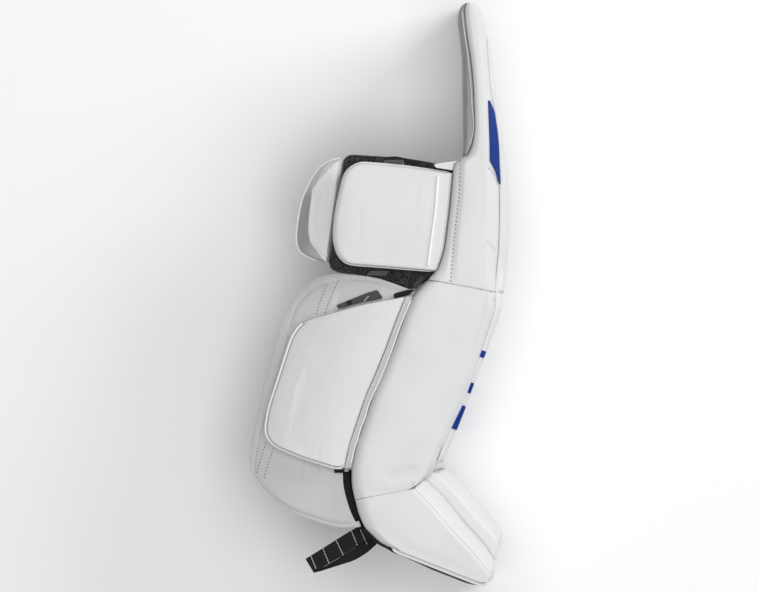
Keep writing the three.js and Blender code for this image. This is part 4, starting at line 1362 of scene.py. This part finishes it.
@dataclass
class Calf:
    """The calf wrap with its landing, hinge strip and strap end."""

    wrap: Padded = Padded(
        "calf_wrap", "calf_wrap_foam", FOAM, Filling(pressure=1.5, travel=1 * MM), cell=20 * MM
    )
    landing: Padded = Padded(
        "calf_landing", "calf_landing_cushion", cell=14 * MM, sharp=50.0, fold=0.5, rounds=30
    )
    top_hem: Route = ((-77, 21), (-60, 25), (-41, 26), (-18, 25), (7, 21), (26, 14), (42, 6), (49, 5))
    left_hem: Route = ((-82, 19), (-104, 6), (-122, -14), (-130, -32), (-135, -48))
    side_hem: Route = ((-138, -60), (-160, -140), (-178, -205), (-186, -245), (-187, -268))
    bottom_hem: Route = ((-187, -270), (-168, -295), (-136, -318), (-98, -332), (-66, -341), (-41, -341))
    dotted_rows: tuple[Route, ...] = (
        ((-79, 16), (-88, -6), (-96, -30)),
        ((-62, 22), (-72, 0), (-83, -29)),
        ((-171, -222), (-182, -257), (-184, -267)),
        ((-158, -225), (-171, -264), (-173, -276)),
    )
    heel_liner: Route = ((-50, -264), (-48, -289), (-38, -323), (-22, -354))
    landing_piping: Rim = Rim(260 * MM, 0.6 * MM, LANDING_SLOPE, on_free_edge)
    # painted shadow: a line just inside the landing's piping, for the shadow gap between piping and leather
    landing_shadow_line: Rim = Rim(260 * MM, -2.2 * MM, LANDING_SLOPE, on_free_edge)
    dash: Stitch = Stitch(length=3.6 * MM, pitch=5.4 * MM, radius=0.9 * MM)
    fine: Stitch = Stitch(length=2.4 * MM, pitch=4.4 * MM, radius=0.45 * MM)
    dot: Stitch = Stitch(length=2.6 * MM, pitch=5 * MM, radius=0.8 * MM)
    bar: Stitch = Stitch(length=2.6 * MM, pitch=2.8 * MM, radius=0.8 * MM)
    strap_diagonal: Route = ((-17, -1), (-28, -14))
    strap_cross: Route = ((-46, -7), (-41, -19))

    def build(self) -> None:
        """Models the wrap and the landing."""
        self.wrap.build()
        self.landing.build()
        for hem in (self.top_hem, self.left_hem, self.side_hem, self.bottom_hem):
            Groove(hem, 5 * MM, 0.8 * MM).press(self.wrap.piece)

    def dress(self) -> None:
        """Finishes the wrap and the landing, and adds stitches, piping and the small pieces."""
        self.wrap.dress()
        self.landing.dress()
        # the hinge strip's grey is painted shade
        hinge = Trim("calf_hinge", "calf_hinge_strip", PAINTED_SHADE_STRIP, swell=0.6 * MM).build()
        piping("calf_hinge_piping", right_edge(hinge, 3 * MM), Skin(hinge), 1.3 * MM)
        strap = Trim("calf_strap_end", "calf_strap_tongue", STRAP_CLOTH).build()
        Trim("calf_strap_hook", "calf_hook_tape", BLACK).build()
        Trim("landing_tab", "landing_tab_tape", BLACK).build()
        skin = Skin(self.wrap.piece)
        band("heel_liner_edge", laid(self.heel_liner, skin, 1 * MM), 10 * MM, 1.5 * MM, LINING)
        stitches("wrap_hem_stitches", [self.top_hem], skin, self.dash, WHITE_THREAD)
        hems = [self.left_hem, self.side_hem, self.bottom_hem]
        stitches("wrap_edge_stitches", hems, skin, self.fine, GREY_THREAD)
        stitches("wrap_dotted_rows", self.dotted_rows, skin, self.dot, GREY_THREAD)
        self.landing_piping.piping("calf_landing_piping", self.landing.piece, 1.5 * MM)
        # painted shadow: a dark grey cord stands for the shadow gap beside the piping
        self.landing_shadow_line.seam("calf_landing_painted_shadow_line", self.landing.piece, GREY_THREAD)
        skin = Skin(strap)
        stitches("strap_end_stitches", [self.strap_diagonal], skin, self.bar, STRAP_THREAD)
        band("strap_end_cross", laid(self.strap_cross, skin, 0.6 * MM), 7 * MM, 1.2 * MM, BLACK)


@dataclass
class Boot:
    """The boot's liner, bound edge and webbing loop."""

    tuck: Offset = (1 * MM, 2 * MM, 0.0)
    tuck_reach: Span = (18 * MM, 30 * MM)
    bulge: float = 1.7
    bulge_rise: Span = (35 * MM, 80 * MM)
    bulge_fall: Span = (130 * MM, 155 * MM)
    end_pull: Offset = (-5 * MM, 3 * MM, 0.0)
    end_reach: Span = (140 * MM, 158 * MM)
    sag: Offset = (3 * MM, -6 * MM, 0.0)
    sag_rise: Span = (-100 * MM, -45 * MM)
    sag_fall: Span = (12 * MM, -20 * MM)
    loop_middle: float = 200 * MM
    strap_edge: Route = ((-84, -408), (-58, -392), (-36, -378.5))
    bar_stitch: Stitch = Stitch(length=2.8 * MM, pitch=3.6 * MM, radius=0.8 * MM)
    bars: tuple[Route, ...] = (
        ((-104, -389), (-95, -412)),
        ((-86, -378), (-76, -402)),
        ((-66, -366), (-55, -389)),
        ((-42, -354), (-33, -376)),
        ((-28, -353), (-19, -373)),
    )

    def build(self) -> None:
        """Models and dresses the pieces."""
        Trim("boot_liner", "boot_liner_cloth", LINING).build()
        binding = Trim("boot_edge_binding", "boot_edge_tape", BINDING).build()
        reach = points_of(binding)[:, 0]
        bulge = ramp(reach, *self.bulge_rise) - ramp(reach, *self.bulge_fall)
        nudge(binding, self.tuck, ramp(reach, *self.tuck_reach) - bulge * self.bulge)
        nudge(binding, self.end_pull, ramp(reach, *self.end_reach))
        strap = Trim("boot_strap", "boot_strap_webbing", BLACK, cell=8 * MM).build()
        reach, _, height = points_of(strap).T
        middle = ramp(reach, *self.sag_rise) * ramp(reach, *self.sag_fall)
        nudge(strap, self.sag, middle * (height < self.loop_middle))
        skin = Skin(strap)
        piping("boot_strap_edge", self.strap_edge, skin, 0.6 * MM, LOOP_EDGE)
        stitches("boot_strap_stitches", self.bars, skin, self.bar_stitch, LOOP_THREAD)


@dataclass
class Studio:
    """The floor, the lights and the camera straight above the pad."""

    distance: float = 20.0
    sensor: float = 36.0
    frame_width: float = 1.1385
    aim: tuple[float, float] = (0.0002, 0.0)
    floor_size: float = 14.0
    air_strength: float = 0.3

    def build(self) -> None:
        """Makes the floor, the lights and the camera."""
        bpy.ops.object.select_all(action="DESELECT")
        bpy.ops.mesh.primitive_plane_add(size=self.floor_size, location=(0, 0, 0))
        floor = bpy.context.object
        floor.name = "studio_floor"
        dress(floor, Floor())
        self._light("side_softbox", (4.6, 2.8, 2.6), 3.0, 185.0)
        self._light("top_softbox", (0.0, 0.0, 6.0), 4.5, 218.0)
        world = bpy.data.worlds.new("studio_air")
        bpy.context.scene.world = world
        world.use_nodes = True
        background = world.node_tree.nodes["Background"]
        background.inputs["Color"].default_value = (1.0, 1.0, 1.0, 1.0)
        background.inputs["Strength"].default_value = self.air_strength
        bpy.context.scene.view_settings.view_transform = "Standard"
        self._camera()

    @staticmethod
    def _light(name: str, place: Offset, size: float, power: float) -> None:
        """Adds a square softbox that faces the pad and isn't seen itself."""
        bpy.ops.object.light_add(type="AREA", location=place)
        lamp = bpy.context.object
        lamp.name = name
        lamp.data.shape = "SQUARE"
        lamp.data.size = size
        lamp.data.energy = power
        lamp.rotation_euler = (-Vector(place)).to_track_quat("-Z", "Y").to_euler()
        lamp.visible_camera = False

    def _camera(self) -> None:
        """Puts a long lens straight above the pad, its up along +Y."""
        x, y = self.aim
        bpy.ops.object.camera_add(location=(x, y, self.distance), rotation=(0, 0, 0))
        camera = bpy.context.object
        camera.name = "side_camera"
        camera.data.sensor_width = self.sensor
        camera.data.lens = self.sensor * (self.distance - PAD_WIDTH) / self.frame_width
        camera.data.clip_start = 1.0
        camera.data.clip_end = 100.0
        bpy.context.scene.camera = camera


def main() -> None:
    """Builds and dresses the pad, part by part, and lights it."""
    logging.basicConfig(level=logging.INFO, format="%(message)s")
    Studio().build()
    for part in (Body(), Knee(), Calf()):
        part.build()
        part.dress()
    Boot().build()
    bpy.ops.object.select_all(action="DESELECT")


if __name__ == "__main__":
    main()
